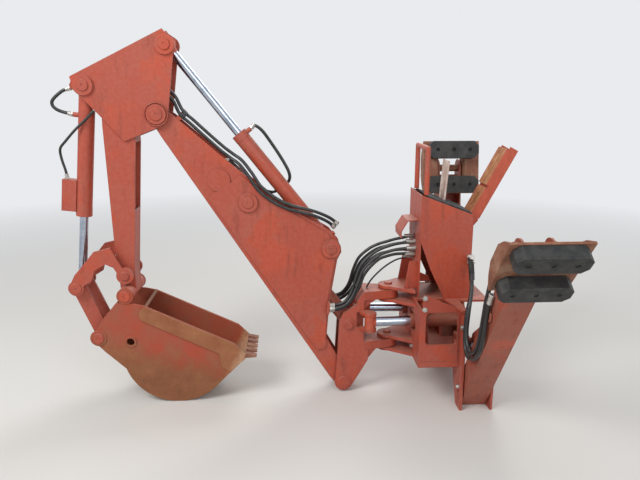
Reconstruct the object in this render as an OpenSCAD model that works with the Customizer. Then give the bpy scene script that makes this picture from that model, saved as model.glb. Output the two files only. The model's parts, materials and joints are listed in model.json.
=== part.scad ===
// Backhoe attachment with folding stabilizer legs, taken off its tractor and
// standing on its bucket, its swing post and its two legs.
// Side view: X to the right towards the tractor, Z up, seen from -Y.
// Angles in that view are counted from +X, anticlockwise.

/* [Stance] */
// Direction of the boom from its foot pin
boom_angle = 122.8; // [112:0.1:135]
// Direction of the dipper from its pivot
dipper_angle = 257.6; // [246:0.1:260]
// Direction of the bucket teeth from the bucket pivot
bucket_angle = 333.1; // [325:0.1:338]
// Lean of the left leg from upright
left_leg_lean = 34; // [20:1:60]
// Lean of the right leg from upright
right_leg_lean = 9; // [6:1:60]
// Turn of the left foot's sole from the leg's line
left_foot_turn = -5; // [-10:1:10]
// Turn of the right foot's sole from the leg's line, rubber facing in
right_foot_turn = 180; // [170:1:190]

/* [Swing post] */
// Boom foot pin ahead of the swing axis
foot_pin_ahead = 265; // [250:1:290]
// Height of the boom foot pin
foot_pin_z = 62; // [58:1:70]
// Boom cylinder pin ahead of the swing axis
boom_cyl_pin_ahead = 238; // [225:1:250]
// Height of the boom cylinder pin
boom_cyl_pin_z = 420; // [400:1:440]
// Outer width of the post's two cheeks
post_w = 180; // [170:1:200]
// Gap between the cheeks
post_gap = 128; // [126:1:134]
// Bottom and thickness of the upper knuckle
upper_knuckle_z = 563; // [555:1:570]
// Bottom of the lower knuckle
lower_knuckle_z = 262; // [255:1:270]
// Thickness of each knuckle
knuckle_t = 50; // [40:1:56]
// Radius of each knuckle
knuckle_r = 58; // [50:1:64]
// Swing cylinder pin ahead of the swing axis
swing_pin_ahead = 120; // [110:1:130]
// Swing cylinder pin out from the centre plane
swing_pin_out = 124; // [118:1:130]
// Height of the swing cylinders
swing_cyl_z = 448; // [440:1:460]

/* [Boom] */
// Boom length between its pins
boom_len = 1838; // [1780:1:1900]
// Thickness of the boom's side plates
boom_plate = 10; // [8:1:12]
// Gap between the boom's side plates
boom_gap = 96; // [94:1:100]
// Radius of the large hinge pins
pin_r = 22; // [18:1:25]
// Radius of the round pin bosses
boss_r = 52; // [46:1:56]
// Thickness of the doubler plates on the boom's sides
boom_doubler = 10; // [6:1:12]

/* [Dipper] */
// Dipper length between its pins
dipper_len = 995; // [950:1:1040]
// Outer width of the dipper box
dipper_w = 126; // [122:1:130]
// Wall of the dipper box
dipper_wall = 8; // [6:1:10]
// Thickness of the head plates
head_plate = 12; // [8:1:14]

/* [Bucket] */
// Inner width of the bucket
bucket_inner_w = 284; // [240:1:320]
// Bucket side plate
bucket_side = 8; // [6:1:10]
// Bucket shell plate
bucket_shell = 10; // [8:1:12]
// Distance from the bucket pivot to the teeth's tips
bucket_reach = 799; // [785:1:810]
// Number of teeth
teeth = 5; // [4:1:6]
// Width of one tooth
tooth_w = 34; // [24:1:40]
// Length of one tooth past the lip
tooth_len = 62; // [50:1:70]
// Turn of the teeth from the bucket's own line
tooth_turn = 22; // [10:1:30]

/* [Bucket linkage] */
// Guide link between its pins
guide_len = 276; // [268:1:284]
// Bucket link between its pins
link_len = 299; // [290:1:308]
// Thickness of each guide link
guide_t = 16; // [12:1:20]
// Middle of each guide link out from the centre plane
guide_out = 105; // [104:1:110]

/* [Cylinders] */
// Outer radius of the boom, dipper and bucket barrels
barrel_r = 42; // [38:1:42]
// Radius of their rods
rod_r = 23; // [18:1:26]
// Half the width of their rod eyes
eye_half = 34; // [28:1:38]
// Outer radius of their eyes
eye_r = 40; // [36:1:44]
// Outer radius of the swing and leg barrels
small_barrel_r = 40; // [36:1:42]
// Radius of the swing and leg rods
small_rod_r = 27; // [20:1:28]
// Boom barrel from its base pin to its gland
boom_barrel_len = 720; // [680:1:760]
// Dipper barrel from its base pin to its gland
dipper_barrel_len = 810; // [780:1:820]
// Bucket barrel from its base pin to its gland
bucket_barrel_len = 700; // [660:1:705]
// Leg barrel from its base pin to its gland
leg_barrel_len = 435; // [420:1:440]
// Leg rod from its piston end to its eye
leg_rod_len = 440; // [430:1:445]

/* [Main frame] */
// Half the width of the main frame
frame_half_w = 292; // [280:1:310]
// Middle of the legs behind the swing axis
leg_x = 448; // [440:1:460]
// Width of a leg along X
leg_w = 144; // [130:1:150]
// Gap between a leg and its bracket plates
leg_clear = 6; // [5:1:10]
// Leg hinge out from the centre plane
leg_hinge_y = 300; // [290:1:310]
// Height of the leg hinge
leg_hinge_z = 115; // [110:1:120]
// Top of the deck
deck_z = 588; // [580:1:596]
// Spacing of the tractor bolts across
mount_w = 560; // [540:1:600]
// Spacing of the tractor bolts in height
mount_h = 90; // [80:1:96]
// Middle height of the tractor bolts
mount_z = 310; // [300:1:320]
// Radius of the tractor bolt holes
mount_hole_r = 11; // [8:0.5:13]

/* [Control tower] */
// Front of the tower behind the swing axis
tower_front = 145; // [140:1:150]
// Depth of the tower along X
tower_depth = 292; // [280:1:300]
// Width of the tower
tower_w = 300; // [280:1:310]
// Sheet thickness of the tower
tower_sheet = 8; // [5:1:10]
// Top of the tower at its front
tower_top_z = 1178; // [1150:1:1200]

/* [Legs] */
// Leg from its hinge to the foot pin
leg_len = 1150; // [1100:1:1200]
// Depth of the leg box
leg_depth = 112; // [100:1:120]
// Leg cylinder pin along the leg
leg_cyl_at = 680; // [660:1:700]
// Leg cylinder pin on the frame, out from the centre plane
leg_frame_pin_y = 200; // [190:1:210]
// Height of that pin
leg_frame_pin_z = 330; // [320:1:340]
// Width of the foot plate along X
foot_w = 350; // [330:1:370]
// Height of the foot plate
foot_h = 326; // [310:1:340]
// Thickness of the rubber bars
rubber_t = 66; // [50:1:72]

/* [Hoses] */
// Outer radius of the hoses along the arm
hose_r = 9; // [7:0.5:10]
// Outer radius of the leg hoses
leg_hose_r = 11; // [8:0.5:12]

/* [Hidden] */

$fn = 48;
paint = "#c4553b";
dark_paint = "#9a4a35";
rust = "#8a5236";
chrome = "#9aa3b0";
rubber = "#2b2c2e";
black = "#303236";

// The origin is under the middle of the whole object's box
origin_x = -567;
origin_y = -313;

pin_gap = 0.5;      // play of a pin in its bore
side_gap = 5;       // play between neighbouring plates
face_gap = 0.3;     // play at the face of an eye
plate_t = 12;

// Swing cylinder bearings behind the swing axis and out from the centre plane
swing_base_x = 190;
swing_base_y = 110;
trunnion_half = 46;
trunnion_r = 20;
swing_eye_half = 37;
leg_eye_half = 50;
// Piston ends of the rods, from the base pins of their barrels
boom_rod_start = 255;
dipper_rod_start = 725;
bucket_rod_start = 545;

// Widths out from the centre plane
boom_half = boom_gap / 2 + boom_plate;
head_inner = boom_half + side_gap;
head_outer = head_inner + head_plate;

// Pin places in the side view
function dir(a) = [cos(a), sin(a)];
function turned(p, a) = [p[0] * cos(a) - p[1] * sin(a), p[0] * sin(a) + p[1] * cos(a)];
function angle_of(v) = atan2(v[1], v[0]);
// Third corner of a triangle on a and b, with sides ra from a and rb from b
function corner(a, b, ra, rb, side) =
    let (v = b - a, d = norm(v), x = (d * d + ra * ra - rb * rb) / (2 * d), h = sqrt(ra * ra - x * x))
    a + turned([x, side * h], angle_of(v));

foot_pin = [-foot_pin_ahead, foot_pin_z];
boom_cyl_pin = [-boom_cyl_pin_ahead, boom_cyl_pin_z];
boom_tip = foot_pin + boom_len * dir(boom_angle);
bucket_pin = boom_tip + dipper_len * dir(dipper_angle);

// Pins on the boom, along it from the foot and square to it
boom_rod_at = [1188, -134];
dipper_base_at = [717, -372];
// Pins on the dipper, along it from its pivot and square to it
dipper_eye_at = [-356, -14];
bucket_base_at = [-66, -385];
guide_at = [dipper_len - 101, -25];
// Pin of the bucket link, seen from the bucket pivot along the teeth's direction
link_at = [-34, -287];

boom_rod_pin = foot_pin + turned(boom_rod_at, boom_angle);
dipper_base_pin = foot_pin + turned(dipper_base_at, boom_angle);
dipper_eye_pin = boom_tip + turned(dipper_eye_at, dipper_angle);
bucket_base_pin = boom_tip + turned(bucket_base_at, dipper_angle);
guide_pin = boom_tip + turned(guide_at, dipper_angle);
link_pin = bucket_pin + turned(link_at, bucket_angle);
common_pin = corner(guide_pin, link_pin, guide_len, link_len, -1);

// A side-view profile raised to a plate of thickness t, its middle at y
module side(y, t) {
    translate([0, y + t / 2, 0]) rotate([90, 0, 0]) linear_extrude(t) children();
}
// The same on both sides of the centre plane, at a distance out
module sides(out, t) {
    side(out, t) children();
    side(-out, t) children();
}
// A round bar along Y through the side-view point p
module bar(p, r, length, y = 0) {
    translate([p[0], y + length / 2, p[1]]) rotate([90, 0, 0]) cylinder(r = r, h = length);
}
// Children drawn along a line: its start and its direction in the side view
module along(p, a) {
    translate([p[0], 0, p[1]]) rotate([0, -a, 0]) children();
}
module placed() {
    translate([-origin_x, -origin_y, 0]) children();
}
// Rectangle from the origin with round corners
module rounded(w, h, r) {
    translate([r, 0]) square([w - 2 * r, h]);
    translate([0, r]) square([w, h - 2 * r]);
    for (x = [r, w - r], y = [r, h - r]) translate([x, y]) circle(r);
}

// Hydraulic barrel along +X from its base pin, which runs along Y; bored for its pin and rod.
// Each port is [distance along the barrel, side: 1 up, -1 down]
gland_len = 42;
gland_lip = 1;
port_r = 13;
port_h = 26;
module barrel(length, r, half, bored_from, ports = []) {
    difference() {
        union() {
            bar([0, 0], eye_r, 2 * half);
            translate([eye_r * 0.6, 0, 0]) rotate([0, 90, 0]) cylinder(r = r, h = length - eye_r * 0.6);
            translate([length - gland_len, 0, 0]) rotate([0, 90, 0]) cylinder(r = r + gland_lip,
                h = gland_len);
            for (p = ports) translate([p[0], 0, 0]) rotate([90 - 90 * p[1], 0, 0]) cylinder(r = port_r,
                h = r + port_h);
        }
        bar([0, 0], pin_r + pin_gap, 2 * half + 2);
        translate([bored_from, 0, 0]) rotate([0, 90, 0]) cylinder(r = rod_r + pin_gap, h = length);
    }
}
// Rod along +X from its piston end to its eye
module rod(start, eye) {
    translate([start, 0, 0]) rotate([0, 90, 0]) cylinder(r = rod_r, h = eye - start - eye_r * 0.8);
    translate([eye - eye_r * 1.4, 0, 0]) rotate([0, 90, 0]) cylinder(r1 = rod_r, r2 = rod_r + 8,
        h = eye_r * 0.7);
    bar([eye, 0], eye_r, 2 * eye_half);
}
// Pads on both inner faces of a fork, up to a rod's eye, and their bosses outside
module eye_pads(p, inner, r) {
    for (s = [-1, 1]) bar(p, r, inner - eye_half - face_gap, s * (inner + eye_half + face_gap) / 2);
}
module bosses(p, out, r, t) {
    for (s = [-1, 1]) bar(p, r, t, s * (out + t / 2));
}

// Main frame: nose tongues, front plate, deck, bottom plate and side plates
tongue_t = 18;
tongue_levels = [upper_knuckle_z + knuckle_t + side_gap, upper_knuckle_z - side_gap - tongue_t,
    lower_knuckle_z + knuckle_t + side_gap, lower_knuckle_z - side_gap - tongue_t];
front_x = 128;
front_t = 14;
bottom_z = 236;
bracket_t = 14;
frame_top = deck_z - plate_t;
// Half the width of the deck over the bracket plates, and between the leg bays
deck_wide = 352;
deck_narrow = 180;
bracket_front = leg_x - leg_w / 2 - leg_clear - bracket_t;
bracket_rear = leg_x + leg_w / 2 + leg_clear;

module tongue(z) {
    translate([0, 0, z]) linear_extrude(tongue_t) {
        circle(knuckle_r);
        polygon([[0, -knuckle_r], [front_x + 2, -150], [front_x + 2, 150], [0, knuckle_r]]);
    }
}
// Plate across a leg: foot on the ground, a lug for the leg cylinder, open where the swing barrel turns
module leg_bracket(x) {
    for (s = [-1, 1]) translate([x, 0, 0]) rotate([90, 0, 90]) linear_extrude(bracket_t)
        polygon([[s * deck_wide, frame_top], [s * 356, 470], [s * 350, 0], [s * 262, 0], [s * 150, bottom_z],
            [s * 150, 392], [s * 236, 392], [s * 252, 408], [s * 252, frame_top]]);
}
module leg_brackets() {
    color(paint) placed() {
        leg_bracket(bracket_front);
        // rear plates with the bolt holes towards the tractor
        difference() {
            leg_bracket(bracket_rear);
            for (y = [-1, 1], z = [-1, 1]) translate([bracket_rear - 1, y * mount_w / 2,
                mount_z + z * mount_h / 2])
                rotate([0, 90, 0]) cylinder(r = mount_hole_r, h = bracket_t + 2);
        }
        // leg hinge pins, and pads that hold the eyes of the leg cylinders
        for (s = [-1, 1]) {
            translate([bracket_front - 8, s * leg_hinge_y, leg_hinge_z]) rotate([0, 90, 0])
                cylinder(r = pin_r, h = bracket_rear - bracket_front + bracket_t + 16);
            for (x = [bracket_front - 10, leg_x + leg_eye_half + face_gap])
                translate([x, s * leg_frame_pin_y, leg_frame_pin_z]) rotate([0, 90, 0])
                    cylinder(r = 30, h = leg_x - leg_eye_half - face_gap - bracket_front + 10);
            // cap of the rear plate, level with the deck
            translate([bracket_rear, s > 0 ? deck_narrow : -deck_wide, frame_top - 1])
                cube([bracket_t, deck_wide - deck_narrow, plate_t + 1]);
        }
    }
}
// Deck between the two leg bays
module rear_deck() {
    color(paint) placed() translate([bracket_front + bracket_t, -deck_narrow, frame_top])
        cube([bracket_rear - bracket_front, 2 * deck_narrow, plate_t]);
}
module main_frame() {
    color(paint) placed() {
        for (z = tongue_levels) tongue(z);
        // front plate, open where the swing cylinders pass
        translate([front_x, 0, 0]) rotate([90, 0, 90]) linear_extrude(front_t) difference() {
            translate([-frame_half_w, bottom_z]) square([2 * frame_half_w, frame_top - bottom_z]);
            for (s = [-1, 1]) translate([s * swing_base_y - 76, swing_cyl_z - 50]) square([152, 100]);
        }
        // bottom plate, narrow between the leg brackets
        translate([front_x, -frame_half_w, bottom_z]) cube([bracket_front - front_x, 2 * frame_half_w,
            plate_t]);
        translate([front_x, -120, bottom_z]) cube([bracket_rear + bracket_t - front_x, 240, plate_t]);
        // deck: narrow under the tower's front, wide over the front bracket plates
        translate([0, 0, frame_top]) linear_extrude(plate_t) for (s = [-1, 1]) polygon([[front_x, 0],
            [front_x, s * tower_w / 2], [tower_front + 147, s * tower_w / 2], [bracket_front - 16,
                s * deck_wide],
            [bracket_front + bracket_t, s * deck_wide], [bracket_front + bracket_t, 0]]);
        // side plates with their windows and the gussets above them
        for (s = [-1, 1]) side(s * (frame_half_w - plate_t / 2), plate_t) difference() {
            polygon([[front_x + front_t, bottom_z + plate_t], [bracket_front, bottom_z + plate_t],
                [bracket_front, frame_top + 1], [335, frame_top + 1], [front_x + front_t + 21, 654],
                    [front_x + front_t, 654]]);
            translate([front_x + front_t + 20, 370]) rounded(176, 186, 24);
        }
        // king pins
        for (z = [lower_knuckle_z - 34, upper_knuckle_z - 34])
            translate([0, 0, z]) cylinder(r = pin_r, h = knuckle_t + 68);
        for (s = [-1, 1]) {
            // bearings of the swing cylinders
            translate([swing_base_x, s * swing_base_y, 0]) difference() {
                union() {
                    translate([0, 0, bottom_z + plate_t])
                        cylinder(r = 34, h = swing_cyl_z - trunnion_half - bottom_z - plate_t);
                    translate([0, 0, swing_cyl_z + trunnion_half])
                        cylinder(r = 34, h = frame_top - swing_cyl_z - trunnion_half);
                }
                translate([0, 0, swing_cyl_z - 80]) cylinder(r = trunnion_r + pin_gap, h = 160);
            }
        }
    }
}

// Control tower
tower_rear_z = 1066;
module tower_panel() {
    polygon([[tower_front, tower_top_z], [tower_front + tower_depth, tower_rear_z],
        [tower_front + tower_depth, deck_z], [tower_front + 147, deck_z], [tower_front + 65, 757],
        [tower_front, 927]]);
}
module control_tower() {
    color(paint) placed() {
        sides(tower_w / 2 - tower_sheet / 2, tower_sheet) tower_panel();
        translate([tower_front, -tower_w / 2 + tower_sheet, deck_z])
            cube([tower_sheet, tower_w - 2 * tower_sheet, tower_top_z - deck_z - 4]);
        translate([tower_front + tower_depth - tower_sheet, -tower_w / 2 + tower_sheet, deck_z])
            cube([tower_sheet, tower_w - 2 * tower_sheet, tower_rear_z - deck_z]);
        // hood over the hoses, and gussets that stand on the upper tongue
        side(0, 170) polygon([[tower_front + 2, 1030], [85, 1026], [48, 964], [50, 926], [56, 926],
            [54, 962], [88, 1020], [tower_front + 2, 1024]]);
        sides(96, 8) polygon([[tower_front + 2, 795], [100, 795], [75,
            tongue_levels[0] + tongue_t + face_gap],
            [tower_front + 2, tongue_levels[0] + tongue_t + face_gap]]);
    }
}
module lever_tray() {
    color(black) placed() side(0, tower_w - 2 * tower_sheet) polygon([
        [tower_front + 30, tower_top_z - 12], [tower_front + tower_depth - 10, tower_rear_z + 4],
        [tower_front + tower_depth - 10, tower_rear_z + 14], [tower_front + 30, tower_top_z - 2]]);
}
module grab_rail() {
    r = 14;
    rail_h = 250;
    color(paint) placed() translate([tower_front + 30, 0, tower_top_z - 2 + face_gap]) rotate([90, 0, 90]) {
        for (s = [-1, 1]) translate([s * 125, 0, 0]) rotate([-90, 0, 0]) cylinder(r = r, h = rail_h);
        for (s = [-1, 1]) translate([s * 125, rail_h, 0]) sphere(r);
        translate([-125, rail_h, 0]) rotate([0, 90, 0]) cylinder(r = r, h = 250);
    }
}
module control_levers() {
    color("#d8c3b8") placed() for (y = [-50, -18, 18, 50]) translate([tower_front + 150, y, 1133])
        rotate([0, 4, 0]) cylinder(r = 6, h = 220);
}
module seat_arm() {
    color(rust) placed() {
        // two side bars, a slab on their upper half and a slotted plate below it
        along([485, 1066], 62.6) {
            sides(66, 10) polygon([[-30, -24], [395, -24], [395, 24], [-30, 24]]);
            side(0, 142) polygon([[155, 23], [380, 23], [380, 36], [155, 36]]);
            difference() {
                side(0, 142) polygon([[-20, 23], [140, 23], [140, 32], [-20, 32]]);
                translate([15, -10, 20]) cube([85, 20, 20]);
            }
        }
        // ears on the tower's rear
        sides(66, 10) polygon([[tower_front + tower_depth, 1062], [tower_front + tower_depth, 960],
            [488, 1020], [478, 1070], [455, 1072]]);
    }
}

// Swing post
module swing_post() {
    color(paint) placed() difference() {
        union() {
            // cheeks, open towards the swing axis between the two arms
            sides((post_w + post_gap) / 4, (post_w - post_gap) / 2) {
                polygon([[-313, 90], [-304, 202], [-291, 440], [-270, 488], [-190, 540], [-150, 574],
                    [-150, 480],
                    [-160, 440], [-162, 354], [-185, 300], [-165, 262], [-120, 262], [-124, 198], [-168, 122],
                    [-214, 45]]);
                translate(foot_pin) circle(52);
            }
            // gussets out to the knuckles
            side(0, 150) polygon([[-190, 500], [-150, 500], [-118, 537], [-80, 563], [-80, 575], [-150,
                590]]);
            side(0, 150) polygon([[-190, 200], [-124, 200], [-70, 268], [-190, 268]]);
            bosses(foot_pin, post_gap / 2, 48, 28);
            bosses(boom_cyl_pin, post_gap / 2, 40, 28);
            // the web that ties the cheeks
            side(0, post_w) polygon([[-190, 262], [-150, 262], [-150, 613], [-190, 560]]);
            for (z = [lower_knuckle_z, upper_knuckle_z]) translate([0, 0, z]) linear_extrude(knuckle_t)
                hull() {
                    circle(knuckle_r);
                    translate([-152, -post_w / 2]) square([4, post_w]);
                }
            // ears of the swing cylinders
            for (s = [-1, 1], z = [swing_cyl_z - swing_eye_half - face_gap - 18,
                swing_cyl_z + swing_eye_half + face_gap])
                translate([0, 0, z]) linear_extrude(18) hull() {
                    translate([-swing_pin_ahead, s * swing_pin_out]) circle(36);
                    translate([-180, s * 70]) circle(10);
                }
            bar(foot_pin, pin_r, post_w + 24);
            bar(boom_cyl_pin, pin_r, post_w + 24);
        }
        translate([0, 0, 200]) cylinder(r = pin_r + pin_gap, h = 500);
        // hollows behind the eyes of the swing rods
        for (s = [-1, 1]) translate([-192, s * 80 - 20, swing_cyl_z - swing_eye_half - 8])
            cube([50, 40, 2 * swing_eye_half + 16]);
    }
}

// Swing cylinders, drawn along +X from the trunnion, then turned in plan
swing_rod_v = [-swing_pin_ahead - swing_base_x, swing_pin_out - swing_base_y];
swing_len = norm(swing_rod_v);
module in_plan(s) {
    translate([swing_base_x, s * swing_base_y, swing_cyl_z])
        rotate([0, 0, s * angle_of(swing_rod_v)]) rotate([90, 0, 0]) children();
}
module swing_barrel(s) {
    color(dark_paint) placed() in_plan(s) difference() {
        union() {
            translate([-220, 0, 0]) rotate([0, 90, 0]) cylinder(r = small_barrel_r, h = 300);
            translate([0, 0, 0]) rotate([90, 0, 0]) cylinder(r = 30, h = 2 * trunnion_half - 0.6,
                center = true);
            rotate([90, 0, 0]) cylinder(r = trunnion_r, h = 2 * trunnion_half + 60, center = true);
        }
        translate([-200, 0, 0]) rotate([0, 90, 0]) cylinder(r = small_rod_r + pin_gap, h = 300);
    }
}
module swing_rod(s) {
    color(chrome) placed() in_plan(s) {
        translate([-60, 0, 0]) rotate([0, 90, 0]) cylinder(r = small_rod_r, h = swing_len + 60 - 20);
        translate([swing_len, 0, 0]) rotate([90, 0, 0]) cylinder(r = 32, h = 2 * swing_eye_half,
            center = true);
    }
}

// Boom: two side plates, a web along the lower edge and cross tubes at the pins
module boom_outline() {
    difference() {
        union() {
            circle(48);
            polygon([[0, 48], [60, 54], [1733, 50], [boom_len, 44], [boom_len, -44], [1795, -65], [1477,
                -156],
                [1118, -266], [805, -421], [717, -428], [668, -412], [642, -368], [458, -199], [277, -60],
                [53, -48], [0, -40]]);
            translate([boom_len, 0]) circle(54);
        }
        circle(pin_r + pin_gap);
        translate([boom_len, 0]) circle(pin_r + pin_gap);
    }
}
module boom() {
    color(paint) placed() along(foot_pin, boom_angle) {
        sides(boom_gap / 2 + boom_plate / 2, boom_plate) boom_outline();
        side(0, boom_gap) polygon([[130, 30], [1700, 24], [1700, 38], [130, 46]]);
        side(0, boom_gap) polygon([[1300, -180], [1700, -66], [1700, -56], [1300, -170]]);
        // doublers on the sides, a round cover and ears for the hoses' ends
        sides(boom_half + boom_doubler / 2, boom_doubler) {
            polygon([[273, 25], [1330, 34], [1330, -188], [1118, -248], [800, -403], [725, -412], [684, -398],
                [657, -362], [462, -183], [273, -50]]);
            translate([273, -12.5]) circle(37.5);
        }
        bosses([1376, -70], boom_half, 62, boom_doubler - 2);
        // saddle and cheek that hold the pair of hoses near the boom's tip
        side(-34, 30) polygon([[1748, -62], [1772, -62], [1772, -88.1], [1748, -94.1]]);
        side(-17.3, 6.8) polygon([[1748, -62], [1772, -62], [1784, -130], [1756, -136]]);
        for (s = [-1, 1]) side(s * (boom_half + 23), 46) polygon([[405, -158], [458, -199], [470, -190],
            [417, -148]]);
        for (x = [0, boom_len]) difference() {
            bar([x, 0], 40, boom_gap);
            bar([x, 0], pin_r + pin_gap, boom_gap + 2);
        }
        for (p = [boom_rod_at, dipper_base_at]) bosses(p, boom_half, boss_r, 22);
        bar(dipper_base_at, pin_r, boom_gap);
        eye_pads(boom_rod_at, boom_gap / 2, 36);
    }
}
boom_cyl = boom_rod_pin - boom_cyl_pin;
module boom_barrel() {
    color(dark_paint) placed() along(boom_cyl_pin, angle_of(boom_cyl))
        barrel(boom_barrel_len, barrel_r, post_gap / 2 - side_gap, 60, [[boom_barrel_len - gland_len / 2,
            -1]]);
}
module boom_rod() {
    color(chrome) placed() along(boom_cyl_pin, angle_of(boom_cyl)) rod(boom_rod_start, norm(boom_cyl));
}

port_box_from = 505;
port_box_len = 172;

// Dipper: box arm, head plates, bosses
module dipper() {
    color(paint) placed() along(boom_tip, dipper_angle) {
        sides(head_inner + head_plate / 2, head_plate) polygon([[-419, -33], [-84, -452], [-40, -440],
            [59, -296], [174, -140], [60, 30], [36, 60], [-19, 60], [-339, 35], [-400, 14]]);
        // cap along the head's top edge, and the tab that the bucket cylinder's hose leaves from
        sides((head_outer + eye_half + side_gap) / 2, head_outer - eye_half - side_gap)
            polygon([[-419, -32], [-251, -242], [-261, -249], [-428.4, -39.5]]);
        side(0, 2 * head_outer) polygon([[-262, -228], [-84, -451], [-86, -457], [-96, -456], [-271.4,
            -235.5]]);
        side(0, 44) polygon([[-86, -450], [-60, -440], [-26.5, -460.4], [-45.5, -471.6], [-92, -460]]);
        difference() {
            union() {
                side(0, dipper_w) polygon([[40, -280], [116, -266], [dipper_len - 217, -107],
                    [dipper_len - 70, -62],
                    [dipper_len, -44], [dipper_len, 44], [dipper_len - 119, 15], [160, -86], [80, -110]]);
                bar([dipper_len, 0], 44, 2 * (bucket_inner_w / 2 - side_gap));
            }
            side(0, dipper_w - 2 * dipper_wall) polygon([[130, -254], [dipper_len - 175, -88],
                [dipper_len - 175, 0], [170, -76]]);
            bar([dipper_len, 0], pin_r + pin_gap, 400);
        }
        bar([0, 0], pin_r, 2 * head_outer + 20);
        bar(guide_at, pin_r, 2 * guide_out + guide_t + 20);
        bosses(guide_at, dipper_w / 2, 36, guide_out - guide_t / 2 - face_gap - dipper_w / 2);
        for (p = [[0, 0], dipper_eye_at, bucket_base_at]) bosses(p, head_outer, boss_r, 12);
        eye_pads(dipper_eye_at, head_inner, 36);
        bar(bucket_base_at, pin_r, 2 * head_inner);
    }
}
dipper_cyl = dipper_eye_pin - dipper_base_pin;
module dipper_barrel() {
    color(paint) placed() along(dipper_base_pin, angle_of(dipper_cyl))
        barrel(dipper_barrel_len, barrel_r, boom_gap / 2 - side_gap, 60,
            [[50, -1], [dipper_barrel_len - gland_len / 2, -1]]);
}
module dipper_rod() {
    color(chrome) placed() along(dipper_base_pin, angle_of(dipper_cyl)) rod(dipper_rod_start,
        norm(dipper_cyl));
}
bucket_cyl = common_pin - bucket_base_pin;
module bucket_barrel() {
    color(paint) placed() along(bucket_base_pin, angle_of(bucket_cyl)) {
        barrel(bucket_barrel_len, barrel_r, head_inner - side_gap, 60, [[158, -1]]);
        // valve block on its outer side
        translate([port_box_from, -32, -112]) cube([port_box_len, 64, 112 - rod_r - 12]);
    }
}
module bucket_rod() {
    color(chrome) placed() along(bucket_base_pin, angle_of(bucket_cyl)) rod(bucket_rod_start,
        norm(bucket_cyl));
}

// Bucket linkage: curved guide links outside, a straight link between the bucket's ears
link_out = 62;
link_t = 16;
module guide_links() {
    color(paint) placed() along(guide_pin, angle_of(common_pin - guide_pin)) {
        sides(guide_out, guide_t) difference() {
            union() {
                polygon([[0, -44], [26, -171], [120, -172], [177, -130], [259, -74], [318, -7], [300, 36],
                    [guide_len, 40], [240, 0], [180, -19], [150, -70], [80, -90], [44, -60], [30, 0], [30,
                        30],
                    [-20, 40]]);
                circle(46);
                translate([guide_len, 0]) circle(42);
            }
            circle(pin_r + pin_gap);
        }
        // spacers down to the straight link
        for (s = [-1, 1]) bar([guide_len, 0], 36, guide_out - guide_t / 2 - link_out - link_t / 2 - face_gap,
            s * (guide_out - guide_t / 2 + link_out + link_t / 2 + face_gap) / 2);
    }
}
module bucket_link() {
    color(paint) placed() along(link_pin, angle_of(common_pin - link_pin)) {
        difference() {
            union() {
                sides(link_out, link_t) hull() {
                    circle(40);
                    translate([link_len, 0]) circle(40);
                }
                bar([0, 0], 38, bucket_inner_w - 2 * side_gap);
            }
            bar([0, 0], pin_r + pin_gap, bucket_inner_w);
        }
        eye_pads([link_len, 0], link_out - link_t / 2, 36);
    }
}

// Bucket: curved shell between two side plates, which carry its pins
bucket_half = bucket_inner_w / 2 + bucket_side;
rim_t = 10;
lip = [bucket_reach - tooth_len * cos(tooth_turn), -35];
lip_half = 14;
lip_up = lip + lip_half * dir(tooth_turn + 90);
lip_down = lip - lip_half * dir(tooth_turn + 90);
// The shell's round stretch: its middle, its radius and where it begins and ends
tub_mid = [386, -178];
tub_r = 301;
tub_from = -135;
tub_to = -15;
// A point inside it, where the straight stretches overlap it
tub_heart = tub_mid + 28 * dir((tub_from + tub_to) / 2);
module pie(r) {
    intersection() {
        translate(tub_mid) circle(r);
        polygon([for (d = [[0, 0], [1, tub_from], [2, tub_from + 30], [2, tub_from + 60], [2,
            tub_to - 30], [1, tub_to]])
            tub_mid + d[0] * 1.5 * r * dir(d[1])]);
    }
}
module bucket_side_profile() {
    difference() {
        union() {
            polygon([[115, -6], [653, 6], lip_up, lip_down, tub_mid + tub_r * dir(tub_to), tub_heart,
                tub_mid + tub_r * dir(tub_from), [24, -345], [-20, -328], [-63, -249], [-58, -183], [-30,
                    -57],
                [60, -20]]);
            pie(tub_r);
            circle(46);
            translate(link_at) circle(44);
        }
        translate(spare_hole_at) circle(pin_r);
    }
}
spare_hole_at = [131, -231];
module bucket_tub() {
    difference() {
        union() {
            polygon([[115, -6], [653, 6], lip_up, lip_down, tub_mid + tub_r * dir(tub_to), tub_heart,
                tub_mid + tub_r * dir(tub_from), [100, -372], [62, -310], [78, -180], [112, -60]]);
            pie(tub_r);
        }
        polygon([[142, 60], [123, -60], [89, -178], [73, -308], [108, -362],
            tub_mid + (tub_r - bucket_shell) * dir(tub_from), tub_heart,
            tub_mid + (tub_r - bucket_shell) * dir(tub_to), lip_up + [-18, -58], lip_up - [1.5, 0],
            lip_up + [8, 27], [700, 60]]);
        pie(tub_r - bucket_shell);
    }
}
module bucket() {
    color(rust) placed() along(bucket_pin, bucket_angle) {
        sides((bucket_inner_w + bucket_side) / 2, bucket_side) bucket_side_profile();
        side(0, bucket_inner_w) bucket_tub();
        // rim strips and corner plates outside the sides
        sides(bucket_half + rim_t / 2, rim_t) polygon([[100, -45], [118, -7], [653, 5], lip_up, lip_down,
            [bucket_reach - 98, -160], [650, -150], [603, -84], [129, -88]]);
        difference() {
            bosses(spare_hole_at, bucket_half, 32, 6);
            bar(spare_hole_at, pin_r, 2 * bucket_half + 14);
        }
        for (p = [[0, 0], link_at]) {
            bar(p, pin_r, 2 * bucket_half + 16);
            bosses(p, bucket_half, 42, 6);
        }
    }
}
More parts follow.
